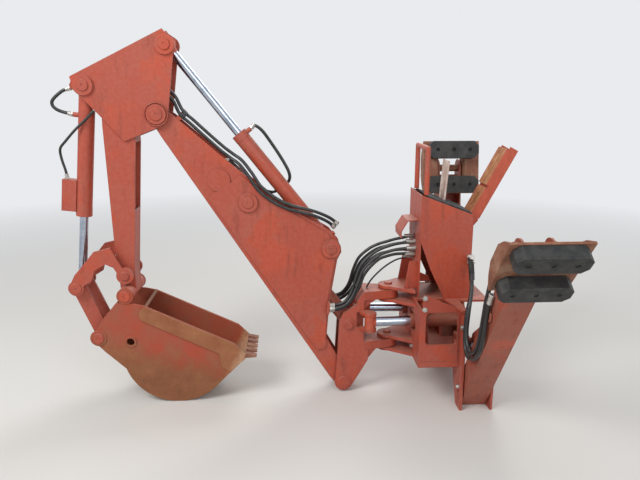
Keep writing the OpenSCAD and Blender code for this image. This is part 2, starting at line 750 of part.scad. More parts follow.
module bucket_teeth() {
    pitch = (2 * bucket_half - tooth_w) / (teeth - 1);
    color(rust) placed() along(bucket_pin, bucket_angle)
        for (i = [0 : teeth - 1]) side(-bucket_half + tooth_w / 2 + i * pitch, tooth_w) translate(lip)
            rotate(tooth_turn) polygon([[face_gap, -13], [tooth_len, -4], [tooth_len, 5], [face_gap, 13]]);
}

// Legs, feet and their cylinders; s is -1 on the left and 1 on the right
leg_tail = 95;
module leg_place(s, lean) {
    translate([leg_x, s * leg_hinge_y, leg_hinge_z]) rotate([-s * lean, 0, 0]) children();
}
module leg(s, lean) {
    color(dark_paint) placed() leg_place(s, lean) difference() {
        union() {
            // outer web, short of the foot's pin
            translate([-leg_w / 2, s > 0 ? leg_depth / 2 - 10 : -leg_depth / 2, -leg_tail])
                cube([leg_w, 10, leg_len + leg_tail - 40]);
            // two flanges with round ends
            for (x = [-leg_w / 2, leg_w / 2 - 10]) translate([x, 0, 0]) rotate([90, 0, 90])
                linear_extrude(10) union() {
                    translate([-leg_depth / 2, -leg_tail]) square([leg_depth, leg_len + leg_tail]);
                    translate([0, leg_len]) circle(leg_depth / 2);
                }
            translate([0, 0, leg_cyl_at]) rotate([0, 90, 0]) cylinder(r = pin_r, h = leg_w + 10,
                center = true);
        }
        for (z = [0, leg_len]) translate([0, 0, z]) rotate([0, 90, 0])
            cylinder(r = pin_r + pin_gap, h = leg_w + 2, center = true);
    }
}
module foot_place(s, lean, turn) {
    leg_place(s, lean) translate([0, 0, leg_len]) rotate([s * turn, 0, 0]) children();
}
foot_ear = 76;
foot_plate = 12;
module foot(s, lean, turn) {
    color(rust) placed() foot_place(s, lean, turn) {
        difference() {
            translate([-foot_w / 2, s > 0 ? foot_ear : -foot_ear - foot_plate, -foot_h / 2])
                cube([foot_w, foot_plate, foot_h]);
            translate([-85, -100, -55]) cube([170, 200, 110]);
        }
        for (x = [-leg_w / 2 - 20, leg_w / 2 + 6]) translate([x, 0, 0]) rotate([90, 0, 90])
            linear_extrude(14) hull() {
                circle(40);
                translate([s * (foot_ear - 4), 0]) square([8, 220], center = true);
            }
        // end flanges, narrower towards the leg
        for (x = [-foot_w / 2, foot_w / 2 - foot_plate]) translate([x, 0, 0]) rotate([90, 0, 90])
            linear_extrude(foot_plate) polygon([[s * (foot_ear + 1), -foot_h / 2], [s * (foot_ear + 1),
                foot_h / 2],
                [s * 36, 118], [s * 6, 60], [s * 6, -60], [s * 36, -118]]);
        rotate([0, 90, 0]) cylinder(r = pin_r, h = leg_w + 60, center = true);
    }
}
pad_cut = 28;
module pad_outline(w, h) {
    c = pad_cut;
    polygon([[-w, -h + c], [-w, h - c], [c - w, h], [w - c, h], [w, h - c], [w, c - h], [w - c, -h],
        [c - w, -h]]);
}
module foot_pads(s, lean, turn) {
    out = foot_ear + foot_plate;
    color(rubber) placed() foot_place(s, lean, turn)
        for (z = [-foot_h / 2 + 56.5, foot_h / 2 - 56.5])
            translate([0, s > 0 ? out + rubber_t : -out, z]) rotate([90, 0, 0])
                linear_extrude(rubber_t) pad_outline(foot_w / 2 - 20, 52.5);
}
// Leg cylinder, its base on the leg and its rod's eye on the frame
function leg_pin(s, lean) = [s * (leg_hinge_y + leg_cyl_at * sin(lean)),
    leg_hinge_z + leg_cyl_at * cos(lean)];
function leg_cyl_v(s, lean) = [s * leg_frame_pin_y, leg_frame_pin_z] - leg_pin(s, lean);
module leg_cyl_place(s, lean) {
    v = leg_cyl_v(s, lean);
    p = leg_pin(s, lean);
    translate([leg_x, p[0], p[1]]) rotate([90, 0, 90]) rotate([0, 0, angle_of(v)]) children();
}
module leg_barrel(s, lean) {
    color(dark_paint) placed() leg_cyl_place(s, lean) difference() {
        union() {
            cylinder(r = 36, h = 2 * leg_eye_half, center = true);
            translate([20, 0, 0]) rotate([0, 90, 0]) cylinder(r = small_barrel_r, h = leg_barrel_len - 20);
        }
        cylinder(r = pin_r + pin_gap, h = 2 * leg_eye_half + 2, center = true);
        translate([42, 0, 0]) rotate([0, 90, 0]) cylinder(r = small_rod_r + pin_gap, h = leg_barrel_len);
    }
}
module leg_rod(s, lean) {
    reach = norm(leg_cyl_v(s, lean));
    color(chrome) placed() leg_cyl_place(s, lean) {
        translate([reach - leg_rod_len, 0, 0]) rotate([0, 90, 0])
            cylinder(r = small_rod_r, h = leg_rod_len - 20);
        translate([reach, 0, 0]) cylinder(r = 34, h = 2 * leg_eye_half, center = true);
    }
}

// Hoses: a tube of eight sides swept along a smooth curve through a short list of points;
// across is a direction that the hose never runs along
hose_steps = 2;
function curve(a, b, c, d, t) =
    0.5 * (2 * b + (c - a) * t + (2 * a - 5 * b + 4 * c - d) * t * t + (3 * b - a - 3 * c + d) * t * t * t);
function smooth(p) = let (n = len(p) - 1) [for (i = [0 : n - 1], k = [0 : hose_steps - 1])
    curve(p[max(i - 1, 0)], p[i], p[i + 1], p[min(i + 2, n)], k / hose_steps), p[n]];
function unit(v) = v / norm(v);
module hose(points, r, across = [0, 1, 0]) {
    path = smooth(points);
    n = len(path) - 1;
    rings = [for (i = [0 : n]) let (t = unit(path[min(i + 1, n)] - path[max(i - 1, 0)]),
        u = unit(cross(t, across)), v = cross(t, u))
        for (j = [0 : 7]) path[i] + r * (cos(45 * j) * u + sin(45 * j) * v)];
    walls = [for (i = [0 : n - 1], j = [0 : 7], h = [0, 1]) let (a = 8 * i + j, b = 8 * i + (j + 1) % 8)
        h == 0 ? [a, a + 8, b] : [b, a + 8, b + 8]];
    ends = [for (j = [1 : 6], e = [0, 1]) e == 0 ? [0, j, j + 1] : [8 * n, 8 * n + j + 1, 8 * n + j]];
    polyhedron(points = rings, faces = concat(walls, ends));
}
function on_boom(q) = let (p = foot_pin + turned([q[0], q[1]], boom_angle)) [p[0], q[2], p[1]];
function on_dipper(q) = let (p = boom_tip + turned([q[0], q[1]], dipper_angle)) [p[0], q[2], p[1]];

// The arch of hoses: place between its inner and outer curve, Y at the tower, Y at the boom
arch = [[0, -20, -74], [0.2, 12, 74], [0.45, -52, -94], [0.55, 46, 94], [0.8, -30, -74], [1, 22, 76]];
arch_split_x = -10;
// Inner and outer curves, x z x z, from the tower to the split and on to the ears of the boom
hose_gap = 0.8;
arch_tower = [[tower_front - hose_gap, 817, tower_front - hose_gap, 914],
    [tower_front - 22, 817, tower_front - 22, 914], [90, 820, 90, 906], [35, 818, 35, 896],
    [arch_split_x, 808, arch_split_x, 883]];
arch_post = [[arch_split_x - 2, 808, arch_split_x - 2, 883], [-63, 790, -60, 866],
    [-115, 745, -111, 838], [-152, 695, -168, 784], [-172, 640, -200, 710], [-195, 597, -218, 640],
    [-222, 556, -238, 594], [-258, 524, -268, 558], [-302, 508, -308, 544], [-348.7, 505, -345.7, 540]];
function between(row, t) = [row[0] + (row[2] - row[0]) * t, row[1] + (row[3] - row[1]) * t];
module hoses_tower() {
    color(rubber) placed() {
        for (h = arch) hose([for (row = arch_tower) let (q = between(row, h[0])) [q[0], h[1], q[1]]], hose_r);
        // thin hose from the tower to the top of the post
        hose([[tower_front - face_gap, 2, 795], [tower_front - 20, 2, 795], [90, 2, 790], [35, 0, 775],
            [-35, -4, 730], [-100, -8, 665], [-128, -8, 616]], 5);
    }
}
module hoses_post() {
    n = len(arch_post) - 1;
    color(rubber) placed() for (h = arch) hose([for (i = [0 : n]) let (q = between(arch_post[i], h[0]),
        f = min(1, i / (n - 2))) [q[0], h[1] + (h[2] - h[1]) * f, q[1]]], hose_r);
}
// Along the boom, each row: place along the boom, square to it, and Y
pair_step = [8, -24, 0];
boom_run = [[1775, -97, -30], [1700, -116, -30], [1600, -141, -30], [1500, -168, -32], [1440, -190, -40],
    [1385, -212, -60], [1300, -220, -80], [1222, -220, -84], [1150, -240, -84], [1085, -270, -84],
    [1022, -316, -84], [965, -368, -78], [905, -410, -56], [845, -440, -26], [796, -452, -6]];
module hoses_boom() {
    color(rubber) placed() for (k = [0, 1])
        hose([for (q = boom_run) on_boom(q + k * pair_step)], hose_r);
}
// Over the boom's pivot into the head, first along the boom, then along the dipper
head_start = [1779, -97, -30];
head_run = [[-90, 62, -30], [-118, 0, -30], [-120, -60, -30], [-105, -120, -30]];
module hoses_head() {
    color(rubber) placed() for (k = [0, 1])
        hose(concat([on_boom(head_start + k * pair_step)], [for (q = head_run) on_dipper(q + k * [-24, 8,
            0])]), hose_r);
}
// From the boom's web behind the dipper cylinder's barrel to the port at its gland
gland_run = [[1441.6, -146, -8], [1428, -172, -8], [1385, -184, -10], [1292, -196, -12], [1211, -224, -12],
    [1168, -256, 2], [1147, -280, 38], [1143, -332, 58], [1154, -381, 54], [1196, -406, 45], [1286, -414, 40],
    [1399, -414, 28], [1470, -410, 10], [1511.5, -393, 1], [1509, -369, 0]];
module hose_gland() {
    color(rubber) placed() hose([for (q = gland_run) on_boom(q)], hose_r);
}
module hoses_bucket() {
    color(rubber) placed() {
        // loop from the head's tab to the base port of the bucket cylinder
        hose([for (q = [[-35.4, -466.8, 0], [-9, -509, 0], [42, -549, 0], [72, -550, 0], [92, -522, 0],
            [98, -476, 0],
            [97.5, -437, 0]]) on_dipper(q)], hose_r);
        // in front of the barrel to its valve block
        hose([for (q = [[30, -300, -53], [58, -325, -53], [108, -357, -54], [171, -402, -55], [239, -444,
            -48],
            [288, -472, -32], [342, -462, -20], [400, -436, -15], [444, -421, -14]]) on_dipper(q)], 7);
    }
}
// Leg hoses in front of the legs, rows [X, Y, Z]
leg_hose_x = leg_x - leg_w / 2 - leg_hose_r - 0.4;
leg_runs_left = [
    [[425, -150 - 4 * hose_gap, 830], [424, -176, 829], [412, -240, 782], [390, -330, 700], [362, -392,
        600], [352, -406, 500],
     [352, -432, 435], [352, -490, 405], [354, -558, 448], [356, -598, 525], [358, -622, 620], [362, -640,
         730],
     [leg_hose_x, -668, 820], [leg_hose_x, -700, 912]],
    [[428, -150 - 4 * hose_gap, 798], [427, -176, 797], [416, -240, 746], [392, -322, 672], [362, -368,
        590], [354, -377, 490],
     [352, -398, 408], [352, -455, 370], [354, -545, 400], [354, -620, 470], [356, -652, 560], [357, -672,
         655],
     [357, -692, 730], [leg_hose_x, -712, 800]]];
leg_runs_right = [
    [[425, 150 + 4 * hose_gap, 830], [424, 176, 829], [400, 226, 785], [366, 300, 722], [354, 375, 650],
        [352, 404, 570], [352, 408, 500],
     [352, 432, 435], [352, 468, 430], [354, 484, 480], [356, 464, 570], [leg_hose_x - 3, 445, 640],
     [leg_hose_x - 0.4, 440, 705]],
    [[428, 150 + 4 * hose_gap, 798], [427, 176, 797], [400, 226, 752], [366, 288, 700], [353, 354, 640],
        [352, 375, 590], [352, 379, 500],
     [352, 396, 408], [352, 450, 385], [354, 512, 430], [354, 512, 560], [360, 478, 690],
     [leg_hose_x, 460, 760]]];
module hoses_leg(runs) {
    color(rubber) placed() for (run = runs) hose(run, leg_hose_r, [1, 0, 0]);
}

main_frame();
rear_deck();
leg_brackets();
control_tower();
lever_tray();
grab_rail();
control_levers();
seat_arm();
swing_post();
swing_barrel(-1);  // swing_barrel_left
swing_barrel(1);  // swing_barrel_right
swing_rod(-1);  // swing_rod_left
swing_rod(1);  // swing_rod_right
boom();
boom_barrel();
boom_rod();
dipper();
dipper_barrel();
dipper_rod();
bucket_barrel();
bucket_rod();
guide_links();
bucket_link();
bucket();
bucket_teeth();
leg(-1, left_leg_lean);  // leg_left
leg(1, right_leg_lean);  // leg_right
leg_barrel(-1, left_leg_lean);  // leg_barrel_left
leg_barrel(1, right_leg_lean);  // leg_barrel_right
leg_rod(-1, left_leg_lean);  // leg_rod_left
leg_rod(1, right_leg_lean);  // leg_rod_right
foot(-1, left_leg_lean, left_foot_turn);  // foot_left
foot(1, right_leg_lean, right_foot_turn);  // foot_right
foot_pads(-1, left_leg_lean, left_foot_turn);  // foot_pads_left
foot_pads(1, right_leg_lean, right_foot_turn);  // foot_pads_right
hoses_tower();
hoses_post();
hoses_boom();
hoses_head();
hose_gland();
hoses_bucket();
hoses_leg(leg_runs_left);  // hoses_leg_left
hoses_leg(leg_runs_right);  // hoses_leg_right
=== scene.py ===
# Backhoe attachment, parked on its bucket, swing post and leg brackets
import bmesh
import bpy
import json
import math
from mathutils import Matrix, Vector


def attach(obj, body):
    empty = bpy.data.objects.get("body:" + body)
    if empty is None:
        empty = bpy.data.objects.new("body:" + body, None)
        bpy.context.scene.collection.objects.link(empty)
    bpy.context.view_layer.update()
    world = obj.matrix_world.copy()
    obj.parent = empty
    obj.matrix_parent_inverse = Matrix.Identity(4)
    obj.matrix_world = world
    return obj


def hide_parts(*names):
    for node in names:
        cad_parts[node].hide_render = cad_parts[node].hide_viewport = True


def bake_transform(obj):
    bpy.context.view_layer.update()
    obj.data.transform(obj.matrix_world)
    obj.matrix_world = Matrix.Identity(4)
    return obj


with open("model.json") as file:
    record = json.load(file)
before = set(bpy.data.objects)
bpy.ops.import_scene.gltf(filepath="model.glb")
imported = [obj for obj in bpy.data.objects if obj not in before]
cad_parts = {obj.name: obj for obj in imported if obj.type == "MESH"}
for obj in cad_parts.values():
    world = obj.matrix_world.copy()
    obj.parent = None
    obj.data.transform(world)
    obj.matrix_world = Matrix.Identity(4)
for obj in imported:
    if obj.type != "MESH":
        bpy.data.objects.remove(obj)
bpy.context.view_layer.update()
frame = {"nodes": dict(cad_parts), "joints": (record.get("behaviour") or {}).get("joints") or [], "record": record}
print("stage: frame loaded,", len(frame["nodes"]), "solids")

# Camera where the photograph was taken from, in metres
view = {"place": (-0.023, -3.007, 1.70), "yaw": 3.3, "pitch": 13.5, "lens": 33.75, "sensor": 36.0}


def makeCamera():
    data = bpy.data.cameras.new("camera")
    data.lens, data.sensor_width = view["lens"], view["sensor"]
    camera = bpy.data.objects.new("camera", data)
    camera.location = view["place"]
    camera.rotation_euler = (math.radians(90 - view["pitch"]), 0, -math.radians(view["yaw"]))
    bpy.context.scene.collection.objects.link(camera)
    bpy.context.scene.camera = camera


# Lines that the pieces are placed on: X along the piece, Z square to it, Y across the machine
jointAt = {j["name"]: Vector(j["pos_m"]) for j in frame["joints"] if j.get("pos_m")}

# Pins of the rods' eyes, in metres on the line that holds each: along it, across the machine, square to it
eyePin = {"boom": (1.188, 0, -0.134), "dipper": (-0.356, 0, -0.014), "common": (-1.745, 0, 0.672),
          "leg": (0.448, 0.200, 0.330)}
swingLean = (0.014, -0.310)  # from a swing barrel's pin to its rod's eye: sideways and along the machine
bucketTilt = 333.1  # degrees
footReach = 1.150  # from a leg's hinge to its foot


def lineFrame(origin, angle):
    return Matrix.Translation(origin) @ Matrix.Rotation(-math.radians(angle), 4, "Y")


def lineBetween(start, end):
    return lineFrame(start, math.degrees(math.atan2(end.z - start.z, end.x - start.x)))


machine = Matrix.Translation((jointAt["swing"].x, jointAt["swing"].y, 0))
boomLine = lineBetween(jointAt["boom"], jointAt["dipper"])
dipperLine = lineBetween(jointAt["dipper"], jointAt["bucket"])
bucketLine = lineFrame(jointAt["bucket"], bucketTilt)
boomCylinder = lineBetween(jointAt["boom_barrel_turn"], boomLine @ Vector(eyePin["boom"]))
dipperCylinder = lineBetween(jointAt["dipper_barrel_turn"], dipperLine @ Vector(eyePin["dipper"]))
commonPin = machine @ Vector(eyePin["common"])
bucketCylinder = lineBetween(jointAt["bucket_barrel_turn"], commonPin)
guideLine = lineBetween(jointAt["guide_turn"], commonPin)

# Each side: which way it lies, how far its leg leans, and how far its foot is turned, in degrees
legs = {"left": {"side": -1, "lean": 34, "turn": -5}, "right": {"side": 1, "lean": 9, "turn": 180}}
footLine, legCylinder, swingCylinder = {}, {}, {}
for name, leg in legs.items():
    s = leg["side"]
    lean = Matrix.Rotation(math.radians(-s * leg["lean"]), 4, "X")
    footLine[name] = (Matrix.Translation(jointAt["leg_" + name]) @ lean
                      @ Matrix.Translation((0, 0, footReach))
                      @ Matrix.Rotation(math.radians(s * leg["turn"]), 4, "X"))
    base = jointAt["leg_barrel_turn_" + name]
    x, y, z = eyePin["leg"]
    reach = machine @ Vector((x, s * y, z)) - base
    legCylinder[name] = (Matrix.Translation(base) @ Matrix.Rotation(math.pi / 2, 4, "Z")
                         @ Matrix.Rotation(math.pi / 2, 4, "X")
                         @ Matrix.Rotation(math.atan2(reach.z, reach.y), 4, "Z"))
    swingCylinder[name] = (Matrix.Translation(jointAt["swing_barrel_turn_" + name])
                           @ Matrix.Rotation(s * math.atan2(*swingLean), 4, "Z")
                           @ Matrix.Rotation(math.pi / 2, 4, "X"))


# Materials. The scale of each noise is one over the width of a blotch in metres


def linear(hexColour):
    parts = [int(hexColour[i:i + 2], 16) / 255 for i in (1, 3, 5)]
    return tuple(p / 12.92 if p <= 0.04045 else ((p + 0.055) / 1.055) ** 2.4 for p in parts) + (1.0,)


def feed(tree, node, inputs):
    # An input takes a value, a hex colour, a socket, or a node, whose first output is then linked
    for key, value in inputs.items():
        if isinstance(value, bpy.types.Node):
            value = value.outputs[0]
        if isinstance(value, bpy.types.NodeSocket):
            tree.links.new(value, node.inputs[key])
        elif isinstance(value, str) and value.startswith("#"):
            node.inputs[key].default_value = linear(value)
        else:
            node.inputs[key].default_value = value


def addNode(tree, kind, inputs=None, stops=(), **settings):
    # stops: places and hex colours along a colour ramp
    node = tree.nodes.new(kind)
    for key, value in settings.items():
        setattr(node, key, value)
    feed(tree, node, inputs or {})
    for i, (at, hexColour) in enumerate(stops):
        element = node.color_ramp.elements[i] if i < 2 else node.color_ramp.elements.new(at)
        element.position = at
        element.color = linear(hexColour)
    return node


def newMaterial(name, **constants):
    material = bpy.data.materials.new(name)
    material.use_nodes = True
    tree = material.node_tree
    tree.nodes.clear()
    shader = addNode(tree, "ShaderNodeBsdfPrincipled", {k.replace("_", " "): v for k, v in constants.items()})
    addNode(tree, "ShaderNodeOutputMaterial", {0: shader})
    return material, tree, shader, addNode(tree, "ShaderNodeTexCoord").outputs["Object"]


def inFrame(tree, place, line):
    # The place as measured along a piece's own line, across it and square to it
    turned = addNode(tree, "ShaderNodeMapping", {"Vector": place, "Location": line.translation,
                                                 "Rotation": line.to_euler("XYZ")}, vector_type="TEXTURE")
    return addNode(tree, "ShaderNodeSeparateXYZ", {0: turned}).outputs


# Cosine between the softened and the flat normal where an edge starts and where it is full
edgeTurn = {"From Min": 0.995, "From Max": 0.86}


def roundedEdges(tree, radius):
    # Normal with softened plate edges, and how much of an edge there is
    soft = addNode(tree, "ShaderNodeBevel", {"Radius": radius}, samples=4)
    flat = addNode(tree, "ShaderNodeNewGeometry").outputs["Normal"]
    turn = addNode(tree, "ShaderNodeVectorMath", {0: soft, 1: flat}, operation="DOT_PRODUCT").outputs["Value"]
    return soft, addNode(tree, "ShaderNodeMapRange", dict(edgeTurn, Value=turn))


def coatOver(tree, colour, coats):
    # coats: where each one lies and its colour, from the first to the last
    for cover, coat in coats:
        colour = addNode(tree, "ShaderNodeMix", {0: cover, 6: colour, 7: coat}, data_type="RGBA").outputs[2]
    return colour


# Alkyd machinery paint sprayed on hot-rolled plate: chalked and faded by the sun, stained by oil,
# dusty and paler where it faces up, partly dust and partly painted sunlight, and worn to brown at the plates'
# edges
paintLook = {
    # dust: the colour of settled dust, and also of the painted sunlight on faces that turn up
    "orange_paint": {"paint": "#a5432e", "faded": "#a24d3b", "fresh": "#b04327", "stain": "#7c3424",
                     "dust": "#b87e6b", "worn": "#6e3f2d", "wear": 0.55},
    # dark_paint: the orange paint darkened, painted shade for the parts that stood in shade, and more worn
    "dark_paint": {"paint": "#94432f", "faded": "#94503d", "fresh": "#ac4a2f", "stain": "#5f3226",
                   "dust": "#a5755f", "worn": "#5b3a2a", "wear": 0.9},
}
# Each coat's pattern: width of a blotch in metres, how finely it breaks up, how rough it is, the values at
# which the coat starts and is full, and how far it covers
paintCoats = {
    "faded": (0.5, 3.0, 0.6, 0.38, 0.62, 1.0),
    "fresh": (0.24, 5.0, 0.55, 0.52, 0.6, 0.9),
    "stain": (0.05, 6.0, 0.65, 0.55, 0.72, 0.75),
    "dust": (0.02, 5.0, 0.6, 0.4, 0.75, 0.16),
}
# Metres, apart from runLength, which draws the stains out downwards. The peel is drawn coarser than the
# real paint's, so that it shows
paintGrain = {"edge": 0.0035, "rubbed": 0.03, "chips": 0.012, "peel": 0.007, "depth": 0.0005,
              "runLength": 0.22}


def weatheredPaint(name, look):
    material, tree, shader, place = newMaterial(name, Coat_Weight=0.05, Coat_Roughness=0.4)
    wear = look["wear"]
    drawnOut = addNode(tree, "ShaderNodeMapping", {"Vector": place, "Scale": (1, 1, paintGrain["runLength"])})
    colour, pattern = look["paint"], {}
    for coat, (width, detail, roughness, low, high, most) in paintCoats.items():
        pattern[coat] = addNode(tree, "ShaderNodeTexNoise", {
            "Vector": drawnOut if coat == "stain" else place, "Scale": 1 / width, "Detail": detail,
            "Roughness": roughness})
        cover = addNode(tree, "ShaderNodeMapRange",
                        {"Value": pattern[coat], "From Min": low, "From Max": high, "To Max": most})
        colour = coatOver(tree, colour, [(cover, look[coat])])
    soft, edge = roundedEdges(tree, paintGrain["edge"])
    up = addNode(tree, "ShaderNodeSeparateXYZ", {0: soft}).outputs["Z"]
    level = addNode(tree, "ShaderNodeMapRange",
                    {"Value": up, "From Min": 0.35, "From Max": 0.95, "To Max": 0.6})
    uneven = addNode(tree, "ShaderNodeMapRange",
                     {"Value": pattern["dust"], "From Min": 0.25, "From Max": 0.6, "To Min": 0.5})
    # Paler where a face turns up: partly settled dust, partly painted sunlight on the tops
    dustAndPaintedTopLight = addNode(tree, "ShaderNodeMath", {0: level, 1: uneven}, operation="MULTIPLY")
    rubbing = addNode(tree, "ShaderNodeTexNoise",
                      {"Vector": place, "Scale": 1 / paintGrain["rubbed"], "Detail": 6.0, "Roughness": 0.7})
    rubbed = addNode(tree, "ShaderNodeMapRange",
                     {"Value": rubbing, "From Min": 0.55 - 0.2 * wear, "From Max": 0.58})
    worn = addNode(tree, "ShaderNodeMath", {0: edge, 1: rubbed}, operation="MULTIPLY")
    flaking = addNode(tree, "ShaderNodeTexNoise",
                      {"Vector": place, "Scale": 1 / paintGrain["chips"], "Detail": 3.0, "Roughness": 0.5})
    chips = addNode(tree, "ShaderNodeMapRange",
                    {"Value": flaking, "From Min": 0.745 - 0.03 * wear, "From Max": 0.76 - 0.03 * wear})
    colour = coatOver(tree, colour, [(dustAndPaintedTopLight, look["dust"]), (worn, look["worn"]), (chips, look["worn"])])
    sheen = addNode(tree, "ShaderNodeMapRange", {"Value": pattern["stain"], "From Min": 0.2, "From Max": 0.8,
                                                 "To Min": 0.42, "To Max": 0.66})
    peel = addNode(tree, "ShaderNodeTexNoise",
                   {"Vector": place, "Scale": 1 / paintGrain["peel"], "Detail": 3.0, "Roughness": 0.6})
    sunk = addNode(tree, "ShaderNodeMath", {0: chips, 1: 0.6}, operation="MULTIPLY")
    height = addNode(tree, "ShaderNodeMath", {0: peel, 1: sunk}, operation="SUBTRACT")
    bump = addNode(tree, "ShaderNodeBump",
                   {"Height": height, "Distance": paintGrain["depth"], "Normal": soft})
    feed(tree, shader, {"Base Color": colour, "Roughness": sheen, "Normal": bump})
    return material


# Places in metres on the bucket's own line, where each finish starts and is full; colours as a ramp's stops;
# blotch and grain are widths of patterns in metres
bucketLook = {
    "paint": ("#a1432c", "#964e38"),
    "scoured": (0.24, 0.40), "scouredColours": [(0.3, "#744427"), (0.52, "#855131"), (0.72, "#935c39")],
    "outerFace": (0.1505, 0.1515), "rimUpTo": (-0.20, -0.19), "rimFrom": (0.095, 0.10),
    "rimColours": [(0.35, "#864a2b"), (0.7, "#99633f")],
    "innerFace": (0.1425, 0.1405), "insideFrom": (0.06, 0.09),
    "insideColours": [(0.3, "#643a25"), (0.7, "#855333")],
    "lip": (0.70, 0.735), "lipColours": [(0.3, "#96694a"), (0.7, "#bd9473")],
    "edge": "#c08a66", "blotch": 0.11, "grain": 0.018, "slope": 0.25, "ragged": 0.3, "lipWave": 0.03,
}


def scouredBucket(name):
    # Abrasion-resistant plate: paint is left only high on the sides, the rest is scoured by earth and browned
    material, tree, shader, place = newMaterial(name)
    along, across, square = inFrame(tree, place, bucketLine)
    out = addNode(tree, "ShaderNodeMath", {0: across}, operation="ABSOLUTE")
    blotch = addNode(tree, "ShaderNodeTexNoise",
                     {"Vector": place, "Scale": 1 / bucketLook["blotch"], "Detail": 6.0, "Roughness": 0.62})
    grain = addNode(tree, "ShaderNodeTexNoise",
                    {"Vector": place, "Scale": 1 / bucketLook["grain"], "Detail": 6.0, "Roughness": 0.7})
    slope = addNode(tree, "ShaderNodeMath", {0: along, 1: bucketLook["slope"]}, operation="MULTIPLY")
    depth = addNode(tree, "ShaderNodeMath", {0: slope, 1: square}, operation="SUBTRACT")
    centred = addNode(tree, "ShaderNodeMath", {0: blotch, 1: 0.5}, operation="SUBTRACT")
    ragged = addNode(tree, "ShaderNodeMath", {0: centred, 1: bucketLook["ragged"]}, operation="MULTIPLY")
    lowness = addNode(tree, "ShaderNodeMath", {0: depth, 1: ragged}, operation="ADD")
    wave = addNode(tree, "ShaderNodeMath", {0: grain, 1: bucketLook["lipWave"]}, operation="MULTIPLY")
    reach = addNode(tree, "ShaderNodeMath", {0: along, 1: wave}, operation="ADD")
    cover = {}
    for part, where in (("scoured", lowness), ("outerFace", out), ("rimUpTo", square), ("rimFrom", along),
                        ("innerFace", out), ("insideFrom", along), ("lip", reach)):
        start, full = bucketLook[part]
        cover[part] = addNode(tree, "ShaderNodeMapRange",
                              {"Value": where, "From Min": start, "From Max": full})
    patchy = addNode(tree, "ShaderNodeMapRange", {"Value": blotch, "From Min": 0.4, "From Max": 0.65})
    side = addNode(tree, "ShaderNodeMath", {0: cover["outerFace"], 1: cover["rimUpTo"]}, operation="MULTIPLY")
    rim = addNode(tree, "ShaderNodeMath", {0: side, 1: cover["rimFrom"]}, operation="MULTIPLY")
    inside = addNode(tree, "ShaderNodeMath", {0: cover["innerFace"], 1: cover["insideFrom"]},
                     operation="MULTIPLY")
    soft, edge = roundedEdges(tree, 0.003)
    rubbed = addNode(tree, "ShaderNodeMapRange",
                     {"Value": grain, "From Min": 0.35, "From Max": 0.6, "To Max": 0.6})
    worn = addNode(tree, "ShaderNodeMath", {0: edge, 1: rubbed}, operation="MULTIPLY")
    faded, fresh = bucketLook["paint"][1], bucketLook["paint"][0]
    coats = [(patchy, faded)]
    for where, pattern, colours in ((cover["scoured"], blotch, "scouredColours"), (rim, blotch, "rimColours"),
                                    (inside, grain, "insideColours"), (cover["lip"], grain, "lipColours")):
        coats.append((where, addNode(tree, "ShaderNodeValToRGB", {"Fac": pattern}, bucketLook[colours])))
    colour = coatOver(tree, fresh, coats + [(worn, bucketLook["edge"])])
    sheen = addNode(tree, "ShaderNodeMapRange",
                    {"Value": grain, "From Min": 0.3, "From Max": 0.7, "To Min": 0.55, "To Max": 0.8})
    bump = addNode(tree, "ShaderNodeBump", {"Height": grain, "Distance": 0.0012, "Normal": soft})
    feed(tree, shader, {"Base Color": colour, "Roughness": sheen, "Normal": bump})
    return material


def rustedSteel(name, darkHex, rustHex, paleHex):
    # Mild steel plate whose paint has gone: thin even rust, paler where hands, soil and sun wear it
    material, tree, shader, place = newMaterial(name, Metallic=0.1)
    grain = addNode(tree, "ShaderNodeTexNoise",
                    {"Vector": place, "Scale": 1 / 0.015, "Detail": 6.0, "Roughness": 0.7})
    blotch = addNode(tree, "ShaderNodeTexNoise",
                     {"Vector": place, "Scale": 1 / 0.08, "Detail": 7.0, "Roughness": 0.65})
    rust = addNode(tree, "ShaderNodeValToRGB", {"Fac": blotch},
                   [(0.32, darkHex), (0.5, rustHex), (0.7, paleHex)])
    soft, edge = roundedEdges(tree, 0.003)
    rubbed = addNode(tree, "ShaderNodeMapRange",
                     {"Value": grain, "From Min": 0.35, "From Max": 0.6, "To Max": 0.7})
    worn = addNode(tree, "ShaderNodeMath", {0: edge, 1: rubbed}, operation="MULTIPLY")
    sheen = addNode(tree, "ShaderNodeMapRange",
                    {"Value": grain, "From Min": 0.3, "From Max": 0.7, "To Min": 0.5, "To Max": 0.78})
    bump = addNode(tree, "ShaderNodeBump", {"Height": grain, "Distance": 0.001, "Normal": soft})
    colour = coatOver(tree, rust, [(worn, paleHex)])
    feed(tree, shader, {"Base Color": colour, "Roughness": sheen, "Normal": bump})
    return material


def paintedArm(name):
    # The seat's support: side bars still orange, the slab and the slotted plate between them rusted
    material, tree, shader, place = newMaterial(name, Roughness=0.62)
    across = inFrame(tree, place, machine)[1]
    out = addNode(tree, "ShaderNodeMath", {0: across}, operation="ABSOLUTE")
    bars = addNode(tree, "ShaderNodeMapRange", {"Value": out, "From Min": 0.0602, "From Max": 0.0608})
    drawnOut = addNode(tree, "ShaderNodeMapping", {"Vector": place, "Scale": (1, 1, 0.3)})
    grain = addNode(tree, "ShaderNodeTexNoise",
                    {"Vector": drawnOut, "Scale": 1 / 0.03, "Detail": 6.0, "Roughness": 0.65})
    slab = addNode(tree, "ShaderNodeValToRGB", {"Fac": grain},
                   [(0.3, "#84502f"), (0.5, "#a8683c"), (0.7, "#c09068")])
    paint = addNode(tree, "ShaderNodeValToRGB", {"Fac": grain}, [(0.35, "#a5462f"), (0.65, "#b9523a")])
    soft, edge = roundedEdges(tree, 0.003)
    worn = addNode(tree, "ShaderNodeMath", {0: edge, 1: 0.5}, operation="MULTIPLY")
    bump = addNode(tree, "ShaderNodeBump", {"Height": grain, "Distance": 0.0008, "Normal": soft})
    colour = coatOver(tree, slab, [(bars, paint), (worn, "#a07058")])
    feed(tree, shader, {"Base Color": colour, "Normal": bump})
    return material


